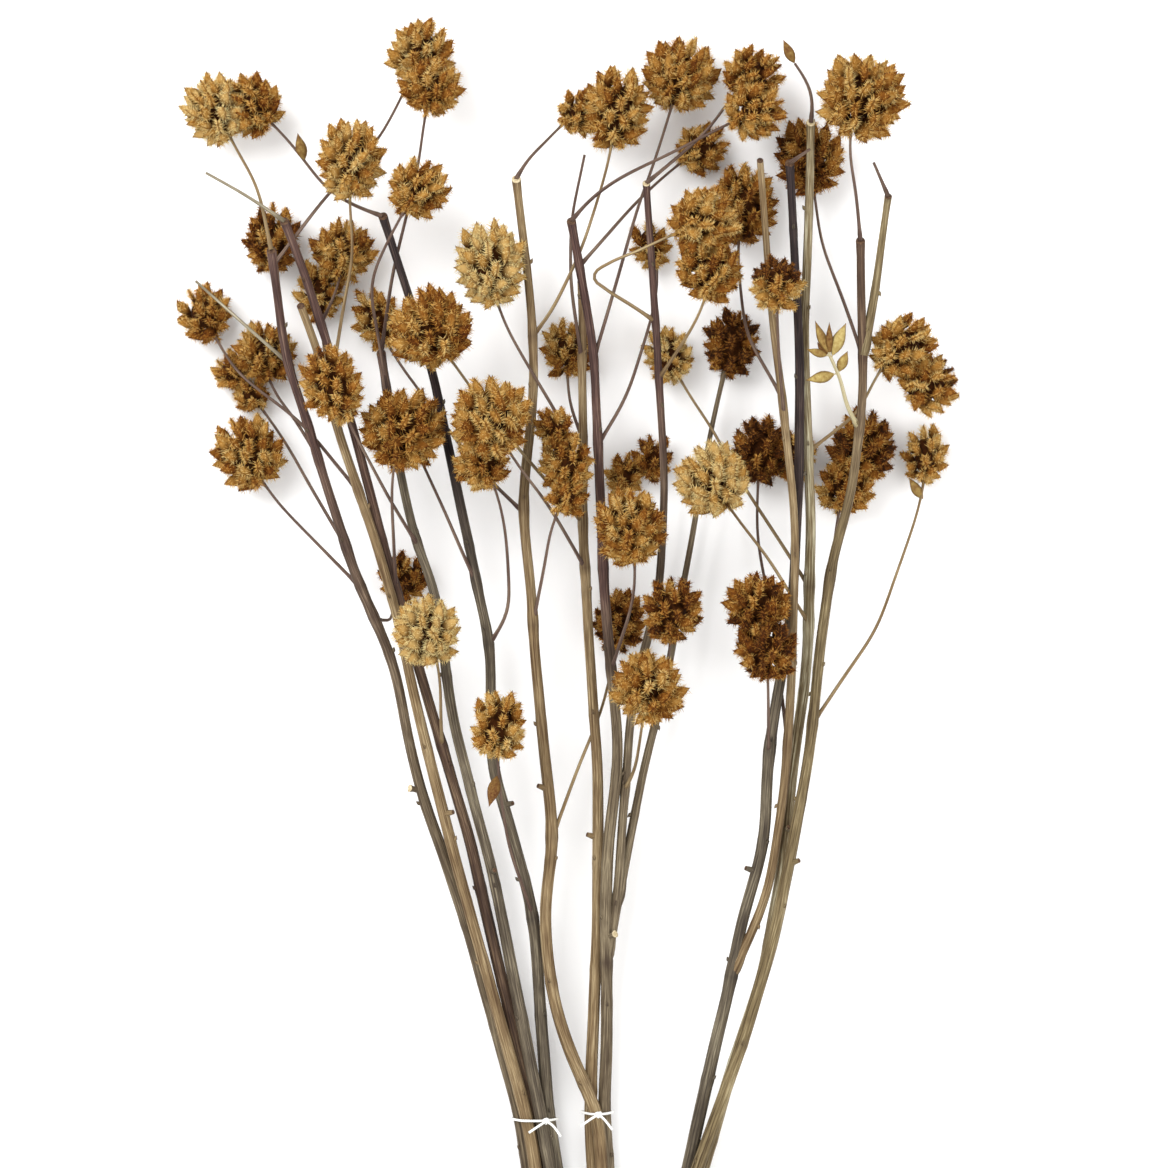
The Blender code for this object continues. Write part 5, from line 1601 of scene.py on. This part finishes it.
@dataclass
class PodSet:
    """Many pods placed at once: a root, a long way, an upper-edge way, a size and a tone for each."""

    roots: Array
    ways: Array
    edges: Array
    sizes: Array
    tones: Array
    shape: PodShape = PodShape()
    bristles: BristleRule = BristleRule()

    def laid(self, local: Array) -> Array:
        """Points in mm from points along, across and deep, in mm, for every pod.

        Args:
            local: Pods by points by three.

        Returns:
            The points in the sheaf, pods by points by three.
        """
        deep = np.cross(self.ways, self.edges)
        return (self.roots[:, None] + local[..., :1] * self.ways[:, None]
                + local[..., 1:2] * self.edges[:, None] + local[..., 2:] * deep[:, None])

    def scaled(self, points: Array) -> Array:
        """Turns shares of a pod's sizes into mm, bent towards the upper edge.

        Args:
            points: Pods by points by three: along, across and deep.

        Returns:
            The same in mm.
        """
        shape = self.shape
        size = self.sizes[:, None]
        along = points[..., 0] * shape.length * size
        bent = shape.bend * shape.length * size * points[..., 0] ** 2
        across = points[..., 1] * shape.half_width * size + bent
        return np.stack([along, across, points[..., 2] * shape.half_depth * size], -1)

    def add_to(self, surface: Surface, finish: Finish) -> None:
        """Adds every pod.

        Args:
            surface: What they are added to.
            finish: Their finish.
        """
        points, along, edge, faces = self.shape.grid()
        everywhere = np.broadcast_to(points, (len(self.roots), *points.shape))
        surface.add(self.laid(self.scaled(everywhere)), faces, [finish],
                    tone=self.tones[:, None], along=along[None], edge=edge[None])

    def add_bristles(self, surface: Surface, rng: Draws) -> None:
        """Adds bristles on both faces of every pod by the rule, each a thin three-sided spike.

        Args:
            surface: What they are added to.
            rng: Draws their places, ways, lengths and tones.
        """
        rule = self.bristles
        shape = (len(self.roots), rule.count)
        u = rng.uniform(*rule.places, shape)
        c = rule.reach_across * np.sin(rng.uniform(-rule.crowding, rule.crowding, shape))
        side = rng.choice([-1.0, 1.0], shape)
        spread = self.shape.spread(u)
        fall, power = rule.face_fall
        depth = spread ** self.shape.DEPTH_POWER * (1.0 - fall * np.abs(c) ** power)
        roots = self.laid(self.scaled(np.stack([u, c * spread, side * depth * rule.sunk], -1)))
        ahead, aside, outward = rule.way
        sway = [rng.uniform(-swing, swing, shape) for swing in rule.sway]
        way = np.stack([ahead + sway[0], aside * c + sway[1], side * (outward + sway[2])], -1)
        way = unit(self.laid(way) - self.roots[:, None])
        full, loss = rule.taper
        size = rng.uniform(rule.shortest_share, 1.0, shape) * rule.longest
        size = size * self.sizes[:, None] * (full - loss * u)
        first = unit(np.cross(way, rng.normal(size=way.shape)))
        second = np.cross(way, first)
        angles = ring_angles(3)
        around = np.cos(angles)[:, None] * first[:, :, None] + np.sin(angles)[:, None] * second[:, :, None]
        foot = roots[:, :, None] + rule.radius * around
        tip = (roots + way * size[..., None])[:, :, None]
        points = np.concatenate([foot, tip], 2).reshape(-1, 4, 3)
        faces = np.array([[0, 1, 3], [1, 2, 3], [2, 0, 3]])
        tones = self.tones[:, None] + rng.uniform(-rule.tone_swing, rule.tone_swing, shape)
        surface.add(points, [faces], [BRISTLE], tone=np.clip(tones, 0.0, 1.0).reshape(-1, 1),
                    along=np.array([0.0, 0.0, 0.0, 1.0])[None])


@dataclass
class SeedHead:
    """One seed head: a dark core, darkened further as painted shade, pods in a golden-angle spiral round it,
    and bristles on the pods.

    A pod's tip lies on a ball that is stretched along the head's axis. Its way leans from straight outwards
    towards the apex, and it stands on edge, so that its flat faces look at its neighbours to the sides.
    Ranges hold the least and the most that is drawn; angles are in radians.
    """

    name: str
    plan: Head
    base: Array
    way: Array
    seed: int
    pods_per_area: float = 0.0235
    lowest: float = -0.92
    lean: float = 0.88
    swerve: float = 0.22
    twist: float = 0.5
    tip_range: tuple = (0.92, 1.10)
    size_range: tuple = (0.88, 1.12)
    tone_swing: float = 0.22
    usual_width: float = 43.0
    pod_scale: tuple = (0.78, 1.10)
    shrunk_reach: float = 0.86
    shrunk_size: float = 0.75
    shrunk_tone: float = 0.8
    core_share: float = 0.44
    core_stretch: float = 0.9
    core_ends: tuple = (0.93, 0.07)
    core_rings: int = 8
    core_sides: int = 10
    neck_radius: float = 1.5
    core_tip: float = 0.5

    def axes(self) -> Array:
        """Three unit ways as rows: two across the head and its own.

        Returns:
            The rows.
        """
        helper = np.array([0.0, 0.0, 1.0]) if abs(self.way[2]) < 0.9 else np.array([1.0, 0.0, 0.0])
        across = unit(np.cross(helper, self.way))
        return np.stack([across, np.cross(self.way, across), self.way])

    def middle(self) -> Array:
        """The centre of the head's round lower end."""
        return self.base + self.way * BASE_CUT * (self.plan.width / 2)

    def spare(self) -> float:
        """How much longer than wide the head is, mm."""
        return max(0.0, self.plan.length - self.plan.width)

    def add_core(self, surface: Surface) -> None:
        """Adds the core: an egg of rings, with a neck down to the stalk.

        Args:
            surface: What it is added to.
        """
        radius = self.plan.width / 2
        first, last = self.core_ends
        polar = np.linspace(first * math.pi, last * math.pi, self.core_rings)
        stretch = self.spare() * (0.5 + 0.5 * np.cos(polar)) * self.core_stretch
        heights = self.core_share * radius * np.cos(polar) + stretch
        reaches = self.core_share * radius * np.sin(polar)
        heights = np.concatenate([[-BASE_CUT * radius], heights])
        reaches = np.concatenate([[self.neck_radius], reaches])
        angle = ring_angles(self.core_sides)
        ring = np.stack([reaches[:, None] * np.cos(angle), reaches[:, None] * np.sin(angle),
                         np.broadcast_to(heights[:, None], (len(heights), len(angle)))], -1).reshape(-1, 3)
        poles = np.array([[0.0, 0.0, heights[0]], [0.0, 0.0, heights[-1] + self.core_tip]])
        points = np.concatenate([poles[:1], ring, poles[1:]]) @ self.axes() + self.middle()
        # The core's colour is partly painted shade for the gaps between the pods.
        surface.add(points[None], list(ring_faces(len(heights), self.core_sides)), [CORE_WITH_GAP_SHADE])

    def pods(self, rng: Draws) -> PodSet:
        """Lays out the pods about an upright axis, and turns them with the head.

        Args:
            rng: Draws what differs from pod to pod.

        Returns:
            The pods.
        """
        plan, spare, axes = self.plan, self.spare(), self.axes()
        count = round(self.pods_per_area * plan.width * (plan.width + plan.length) / 2)
        k = np.arange(count) + 0.5
        up = self.lowest + (1.0 - self.lowest) * k / count
        polar = np.arccos(up)
        turn = GOLDEN_ANGLE * k + rng.uniform(0.0, math.tau)
        shrunk = up > SHRUNK_TOPS.get(self.name, 1.0)
        reach = plan.width / 2 * rng.uniform(*self.tip_range, count)
        reach *= np.where(shrunk, self.shrunk_reach, 1.0)
        tips = np.stack([reach * np.sin(polar) * np.cos(turn), reach * np.sin(polar) * np.sin(turn),
                         reach * up + spare * (0.5 + 0.5 * up)], -1)
        lean = polar * self.lean + rng.uniform(-self.swerve, self.swerve, count)
        turn = turn + rng.uniform(-self.swerve, self.swerve, count)
        ways = np.stack([np.sin(lean) * np.cos(turn), np.sin(lean) * np.sin(turn), np.cos(lean)], -1)
        edges = np.stack([-np.cos(lean) * np.cos(turn), -np.cos(lean) * np.sin(turn), np.sin(lean)], -1)
        twist = rng.uniform(-self.twist, self.twist, count)[:, None]
        edges = edges * np.cos(twist) + np.cross(ways, edges) * np.sin(twist)
        sizes = np.clip(plan.width / self.usual_width, *self.pod_scale) * rng.uniform(*self.size_range, count)
        sizes *= np.where(shrunk, self.shrunk_size, 1.0)
        tones = TONES.get(self.name, USUAL_TONE) + rng.uniform(-self.tone_swing, self.tone_swing, count)
        tones = np.clip(tones - self.shrunk_tone * shrunk, 0.0, 1.0)
        shape = PodShape()
        bent = shape.bend * shape.length * sizes[:, None] * edges
        roots = tips - ways * shape.length * sizes[:, None] - bent
        return PodSet(roots @ axes + self.middle(), ways @ axes, edges @ axes, sizes, tones, shape)

    def add_to(self, surface: Surface) -> None:
        """Adds the head's core, pods and bristles.

        Args:
            surface: What they are added to.
        """
        rng = np.random.default_rng(self.seed)
        self.add_core(surface)
        pods = self.pods(rng)
        pods.add_to(surface, POD_SKIN)
        pods.add_bristles(surface, rng)


@dataclass
class StemPiece:
    """A stem with its limbs, twigs, cut stubs, buds and loose pods.

    Each swelling is its height as a share of the radius, and its reach in mm.
    """

    stem: Stem
    settled: Settled
    seed: int
    node_spacing: float = 74.0
    first_node: float = 0.6
    bare_end: float = 20.0
    node_swing: float = 12.0
    node_swelling: tuple = (0.07, 3.0)
    fork_swelling: tuple = (0.16, 6.0)
    foot_swelling: tuple = (0.35, 4.5)
    foot_place: float = 2.4
    tip_swelling: tuple = (0.30, 3.0)
    tip_place: float = 1.5
    twig_slimness: float = 0.8
    strip_flatness: float = 0.5
    stalk_turn: float = 0.7
    stalk_sunk: float = 1.0
    bud_sunk: float = 0.85
    bud_ahead: float = 3.0
    bud_lean: float = 0.45
    stub_middle: float = 0.6
    stub_shares: tuple = (1.25, 1.0, 0.8)
    pale_flare: float = 1.4
    bud: PodShape = PodShape(length=4.2, half_width=1.2, half_depth=0.9, rings=4)
    loose_pod: PodShape = PodShape(length=17.0, half_width=3.3, half_depth=1.6, rings=8, bend=0.05)

    def twig_finish(self, line: Line) -> Bark:
        """The bark of a twig: pale where it is a torn strip, and otherwise straw or brown."""
        whole = STRAW_TWIG if line.head in STRAW_TWIG_HEADS else BROWN_TWIG
        return PALE_STRIP if line.name in STRIP_TWIGS else whole

    def branch_places(self, line: Line, walked: Array) -> list[float]:
        """How far along a line each of its branches leaves it."""
        roots = {b.particles[0] for b in self.settled.sheaf.lines.values() if b.grows_from == line.name}
        return [float(w) for i, w in zip(line.particles, walked) if i in roots]

    def add_line(self, surface: Surface, line: Line, rng: Draws) -> None:
        """Adds one line as a rod, with its nodes and buds. A stalk's bend is eased before it enters its head.

        Args:
            surface: What it is added to.
            line: The line.
            rng: Draws the places of its nodes and its ridges' turn.
        """
        points = self.settled.places[line.particles]
        thick = line.name in BARK_OF
        radii = np.array(line.radii) * (1.0 if thick else self.twig_slimness)
        if line.head:
            base, way = self.settled.head_base(line.head)
            chord = points[-2] + (base - points[-2]) * self.stalk_turn
            points = np.vstack([points[:-1], (points[-1] + chord) / 2, base + way * self.stalk_sunk])
            radii = np.append(radii, radii[-1])
        walked = walked_along(points)
        swellings = [(place, *self.fork_swelling) for place in self.branch_places(line, walked)]
        if thick:
            last = walked[-1] - self.bare_end
            nodes = np.arange(self.first_node * self.node_spacing, last, self.node_spacing)
            nodes += rng.uniform(-self.node_swing, self.node_swing, len(nodes))
            swellings += [(place, *self.node_swelling) for place in nodes]
            self.add_buds(surface, points, radii, nodes, BARK_OF[line.name], rng)
        if line.grows_from:
            swellings.append((radii[0] * self.foot_place, *self.foot_swelling))
        if line.head:
            swellings.append((walked[-1] - self.tip_place, *self.tip_swelling))
        finish = BARK_OF[line.name] if thick else self.twig_finish(line)
        cut = PALE_WOOD if line.name in PALE_TOPS or line.name in STRIP_TWIGS else DARK_WOOD
        if not line.grows_from:
            points, radii = points[::-1], radii[::-1]
            swellings = [(walked[-1] - place, height, reach) for place, height, reach in swellings]
        rod = Rod(points, radii, finish, cut, swellings=swellings, phase=rng.uniform(0.0, math.tau),
                  ridge_height=0.03, young_from=YOUNG_FROM.get(line.name, Rod.young_from), eased=1.0)
        if not thick:
            rod.sides, rod.ridges, rod.ridge_height, rod.step, rod.eased = 8, 3, 0.05, 4.0, 2.6
        if line.name in STRIP_TWIGS:
            rod.flatness = self.strip_flatness
        if not line.head:
            rod.end = Cut.SLANT if thick else Cut.WORN
        rod.add_to(surface)

    def add_buds(self, surface: Surface, points: Array, radii: Array, nodes: Array,
                 finish: Bark, rng: Draws) -> None:
        """Adds a small bud beside each node, a golden angle on from the last, pressed against the stem.

        Args:
            surface: What they are added to.
            points, radii: The stem's points and the radius at each.
            nodes: How far along the stem each node lies.
            finish: The stem's bark.
            rng: Draws where round the stem the first bud stands.
        """
        if not len(nodes):
            return
        walked = walked_along(points)
        centres = points_at(nodes, walked, points)
        ways = unit(points_at(nodes - self.bud_ahead, walked, points) - centres)
        flat = unit(np.cross(ways, [0.0, 0.0, 1.0]))
        high = np.cross(flat, ways)
        angle = np.arange(len(nodes)) * GOLDEN_ANGLE + rng.uniform(0, math.tau)
        out = flat * np.cos(angle)[:, None] + high * np.abs(np.sin(angle))[:, None]
        size = np.interp(nodes, walked, radii)
        bud_ways = unit(ways + self.bud_lean * out)
        edges = unit(out - bud_ways * (out * bud_ways).sum(1)[:, None])
        PodSet(centres + out * (self.bud_sunk * size)[:, None], bud_ways, edges, np.ones(len(nodes)),
               np.zeros(len(nodes)), self.bud).add_to(surface, finish)

    def add_stubs(self, surface: Surface) -> None:
        """Adds the cut stubs of side branches.

        Args:
            surface: What they are added to.
        """
        for owner, y, way in STUBS:
            if owner == self.stem.name:
                root = self.settled.line_point(owner, y)
                out = unit(np.array(way))
                middle = root + out * STUB_LENGTH * self.stub_middle
                points = np.stack([root, middle, root + out * STUB_LENGTH])
                pale = owner in PALE_STUBS
                foot, waist, end = self.stub_shares
                radii = STUB_RADIUS * np.array([foot, waist, self.pale_flare if pale else end])
                cut = PALE_WOOD if pale else DARK_WOOD
                Rod(points, radii, BARK_OF[owner], cut, sides=10, ridges=3, step=1.5).add_to(surface)

    def add_loose_pods(self, surface: Surface, lines: list[Line]) -> None:
        """Adds the pods left on bare twigs, each rising from the nearest place on a twig.

        Args:
            surface: What they are added to.
            lines: The stem's lines.
        """
        twigs = [self.settled.places[line.particles] for line in lines if line.grows_from]
        for owner, near, plan_way, size, tone in LOOSE_PODS:
            if owner == self.stem.name:
                spots = np.concatenate(twigs + [(points[1:] + points[:-1]) / 2 for points in twigs])
                root = nearest_in_plan(spots, near)
                way = unit(np.array([[*plan_way, LOOSE_RISE]]))
                edge = unit(np.cross(way, [0.0, 0.0, 1.0]))
                PodSet(root[None], way, edge, np.array([size]), np.array([tone]),
                       self.loose_pod).add_to(surface, FRESH_POD)

    def build(self) -> None:
        """Makes the piece that stands for this stem's solid."""
        name = self.stem.name
        rng = np.random.default_rng(self.seed)
        surface = Surface(f"{name}_stem_and_twigs")
        lines = self.settled.lines_of(name)
        for line in lines:
            self.add_line(surface, line, rng)
        self.add_stubs(surface)
        self.add_loose_pods(surface, lines)
        surface.piece(f"stem_{name}", "tan_bark" if name in TAN_STEMS else "bark")


@dataclass
class HeadPieces:
    """Every seed head, one piece for each CAD node."""

    settled: Settled
    first_seed: int = 100  # the stems' seeds are lower

    def build(self) -> None:
        """Makes the pieces."""
        by_node: dict[str, list[SeedHead]] = {}
        for seed, (name, plan) in enumerate(HEADS.items(), self.first_seed):
            base, way = self.settled.head_base(name)
            by_node.setdefault(plan.node, []).append(SeedHead(name, plan, base, way, seed))
        for node, heads in by_node.items():
            surface = Surface(f"{node}_pods")
            for head in heads:
                head.add_to(surface)
            surface.piece(node, "pale_pods" if node in PALE_NODES else "pods")


@dataclass
class UnripeShoot:
    """The young side shoot: a pale stalk with smooth straw-coloured pods on short stalks."""

    settled: Settled
    stalk_radius: float = 0.5
    stalk_length: float = 1.6
    half_depth: float = 1.4
    pod_rings: int = 8
    pod_bend: float = 0.05
    root_inset: float = 2.2
    root_swelling: tuple = (1.5, 0.5, 3.0)
    samples: int = 60

    def build(self) -> None:
        """Makes the piece that stands for the shoot's solid."""
        surface = Surface("unripe_shoot_pods")
        line = self.settled.lines_of("unripe_shoot")[0]
        points = self.settled.places[line.particles]
        first = points[1] - points[0]
        start = points[0] + first * min(0.5, self.root_inset / np.linalg.norm(first))
        path = np.vstack([start, points[1:]])
        Rod(path, np.array(line.radii), FRESH_STALK, PALE_WOOD, sides=10, ridges=3, ridge_height=0.05,
            step=3.0, swellings=[self.root_swelling], end=Cut.WORN).add_to(surface)
        along = np.linspace(0.0, len(path) - 1.0, self.samples)
        spots = points_at(along, np.arange(len(path)), path)
        for place, reach, width, tone in UNRIPE_PODS:
            spot = nearest_in_plan(spots, place)
            way = unit(np.array(reach))
            foot = spot + way * self.stalk_length
            edge = unit(np.cross(way, [0.0, 0.0, 1.0]))
            Rod(np.stack([spot, foot + way]), np.full(2, self.stalk_radius), FRESH_STALK, PALE_WOOD, sides=6,
                ridges=2, ridge_height=0.0, step=1.0).add_to(surface)
            length = float(np.linalg.norm(reach))
            shape = PodShape(length, width / 2, self.half_depth, self.pod_rings, self.pod_bend)
            PodSet(foot[None], way[None], edge[None], np.ones(1), np.full(1, tone),
                   shape).add_to(surface, FRESH_POD)
        surface.piece("unripe_shoot", "unripe_pods")


@dataclass
class StringTie:
    """A loop of two-ply string drawn round a bundle, with a knot and two loose tails."""

    bundle: str
    settled: Settled
    solid_radius: float = 0.9
    clearance: float = 0.48
    radius: float = 0.72
    knot_radius: float = 2.3
    knot_samples: int = 40
    knot_depth: float = 1.6
    turns: int = 22
    tail_bend: tuple = (4.0, 2.5, 0.0)
    tail_end: tuple = (11.0, 9.0, 1.5)
    tail_lift: tuple = (2.2, 1.5)
    tail_shares: tuple = ((-1.0, -0.75), (0.75, -1.0))

    def string(self, points: Array) -> Rod:
        """A length of string: two plies that turn round each other."""
        return Rod(points, np.full(len(points), self.radius), TWINE, TWINE, sides=10, ridges=2,
                   ridge_height=0.16, step=0.7, twist=1.9)

    def loop(self) -> Array:
        """Lays the loop: in each direction round the bundle, just outside the outermost stem.

        Returns:
            Its points.
        """
        stems = [stem for stem in STEMS if stem.name.startswith(self.bundle)]
        y = stems[0].tie[1]
        centres = np.array([self.settled.line_point(stem.name, y) for stem in stems])
        radii = np.array([self.settled.radius_at(stem.name, y) for stem in stems])
        angles = ring_angles(self.turns)
        ways = np.stack([np.cos(angles), np.zeros_like(angles), np.sin(angles)], 1)
        outer = (ways @ centres.T + radii).argmax(1)
        offset = (radii[outer] + self.solid_radius + self.clearance)[:, None]
        return centres[outer] * [1, 0, 1] + [0, y, 0] + ways * offset

    def knot(self, spot: Array, out: Array) -> Array:
        """Lays the knot: a trefoil of sines of one, two and three times the angle, three sizes in reach.

        Args:
            spot: Its middle.
            out: The unit way out from the bundle.

        Returns:
            Its points.
        """
        t = np.linspace(0.0, math.tau, self.knot_samples)
        ahead = np.array([0.0, 1.0, 0.0])
        side = np.cross(out, ahead)
        size = (self.knot_radius - self.radius) / 3.0
        return (spot + size * ((np.sin(t) + 2 * np.sin(2 * t))[:, None] * side
                               + (np.cos(t) - 2 * np.cos(2 * t))[:, None] * ahead
                               - self.knot_depth * np.sin(3 * t)[:, None] * out))

    def build(self) -> None:
        """Makes the piece that stands for this tie's solid."""
        surface = Surface(f"{self.bundle}_string_and_knot")
        loop = self.loop()
        knot_angle = KNOT_ANGLES[self.bundle]
        first = int(round(knot_angle / math.tau * self.turns)) % self.turns
        closed = np.roll(loop, -first, axis=0)
        self.string(np.vstack([closed, closed[:1]])).add_to(surface)
        out = np.array([math.cos(knot_angle), 0.0, math.sin(knot_angle)])
        spot = loop[first] + out * (self.knot_radius - self.solid_radius)
        self.string(self.knot(spot, out)).add_to(surface)
        for across, down in self.tail_shares:
            share = np.array([across, down, 1.0])
            bend = spot + share * self.tail_bend + out * self.tail_lift[0]
            end = spot + share * self.tail_end + out * self.tail_lift[1]
            self.string(np.stack([spot, bend, end])).add_to(surface)
        surface.piece(f"string_{self.bundle}", "string")


@dataclass
class Studio:
    """A white floor, soft light from above and a camera that looks straight down, as the photo is framed.

    Each softbox is its name, place in mm, turn about X, Y and Z in degrees, side in mm and power in watts.
    """

    view_middle: tuple = (9.6, 63.6, 50.0)
    view_width: float = 700.8
    camera_height: float = 2900.0
    sensor: float = 36.0
    sight: float = 20000.0
    floor_size: float = 9000.0
    floor_drop: float = 0.1
    floor_white: tuple = (252, 252, 252)
    surround: float = 1.06
    softboxes: tuple = (("key_softbox", (-900, 900, 1700), (-28, -28, 0), 1300, 36),
                        ("fill_softbox", (1100, -500, 1500), (18, 36, 0), 1300, 13))

    def floor(self) -> None:
        """Adds the floor just under the part."""
        surface = bpy.data.meshes.new("studio_floor")
        half = self.floor_size / 2 * MM
        low = float(CAD_BOX[0, 2]) - self.floor_drop * MM
        surface.from_pydata([(-half, -half, low), (half, -half, low), (half, half, low), (-half, half, low)],
                            [], [(0, 1, 2, 3)])
        surface.materials.append(Graph("floor_white").finish(self.floor_white, 0.9))
        floor = bpy.data.objects.new("studio_floor", surface)
        bpy.context.scene.collection.objects.link(floor)

    def lights(self) -> None:
        """Adds a bright even surround and the softboxes, which unturned shine down."""
        world = bpy.data.worlds.new("studio_surround")
        world.use_nodes = True
        background = world.node_tree.nodes["Background"]
        background.inputs["Color"].default_value = (1.0, 1.0, 1.0, 1.0)
        background.inputs["Strength"].default_value = self.surround
        bpy.context.scene.world = world
        for name, place, turn, side, power in self.softboxes:
            light = bpy.data.lights.new(name, "AREA")
            light.shape = "SQUARE"
            light.size = side * MM
            light.energy = power
            holder = bpy.data.objects.new(name, light)
            holder.location = tuple(v * MM for v in place)
            holder.rotation_euler = tuple(math.radians(v) for v in turn)
            bpy.context.scene.collection.objects.link(holder)

    def camera(self) -> None:
        """Adds the camera: its height and lens show the view's width at the view's middle."""
        lens = bpy.data.cameras.new("camera")
        lens.sensor_fit = "HORIZONTAL"
        lens.sensor_width = self.sensor
        lens.lens = self.sensor * self.camera_height / self.view_width
        lens.clip_end = self.sight * MM
        holder = bpy.data.objects.new("camera", lens)
        x, y, z = self.view_middle
        holder.location = (x * MM, y * MM, (z + self.camera_height) * MM)
        bpy.context.scene.collection.objects.link(holder)
        bpy.context.scene.camera = holder

    def build(self) -> None:
        """Sets up the whole studio."""
        self.floor()
        self.lights()
        self.camera()
        bpy.context.scene.view_settings.view_transform = "Standard"


def main() -> None:
    """Settles the sheaf, sets up the studio and dresses every piece."""
    logging.basicConfig(level=logging.INFO, format="%(message)s")
    settler = Settler(Sheaf.laid_out())
    deepest = settler.settle()
    LOG.info("settled, deepest crossing left %.3f mm", deepest)
    settled = Settled(settler.sheaf, settler.places)
    Studio().build()
    for seed, stem in enumerate(STEMS):
        StemPiece(stem, settled, seed).build()
    HeadPieces(settled).build()
    UnripeShoot(settled).build()
    for bundle in KNOT_ANGLES:
        StringTie(bundle, settled).build()


if __name__ == "__main__":
    main()
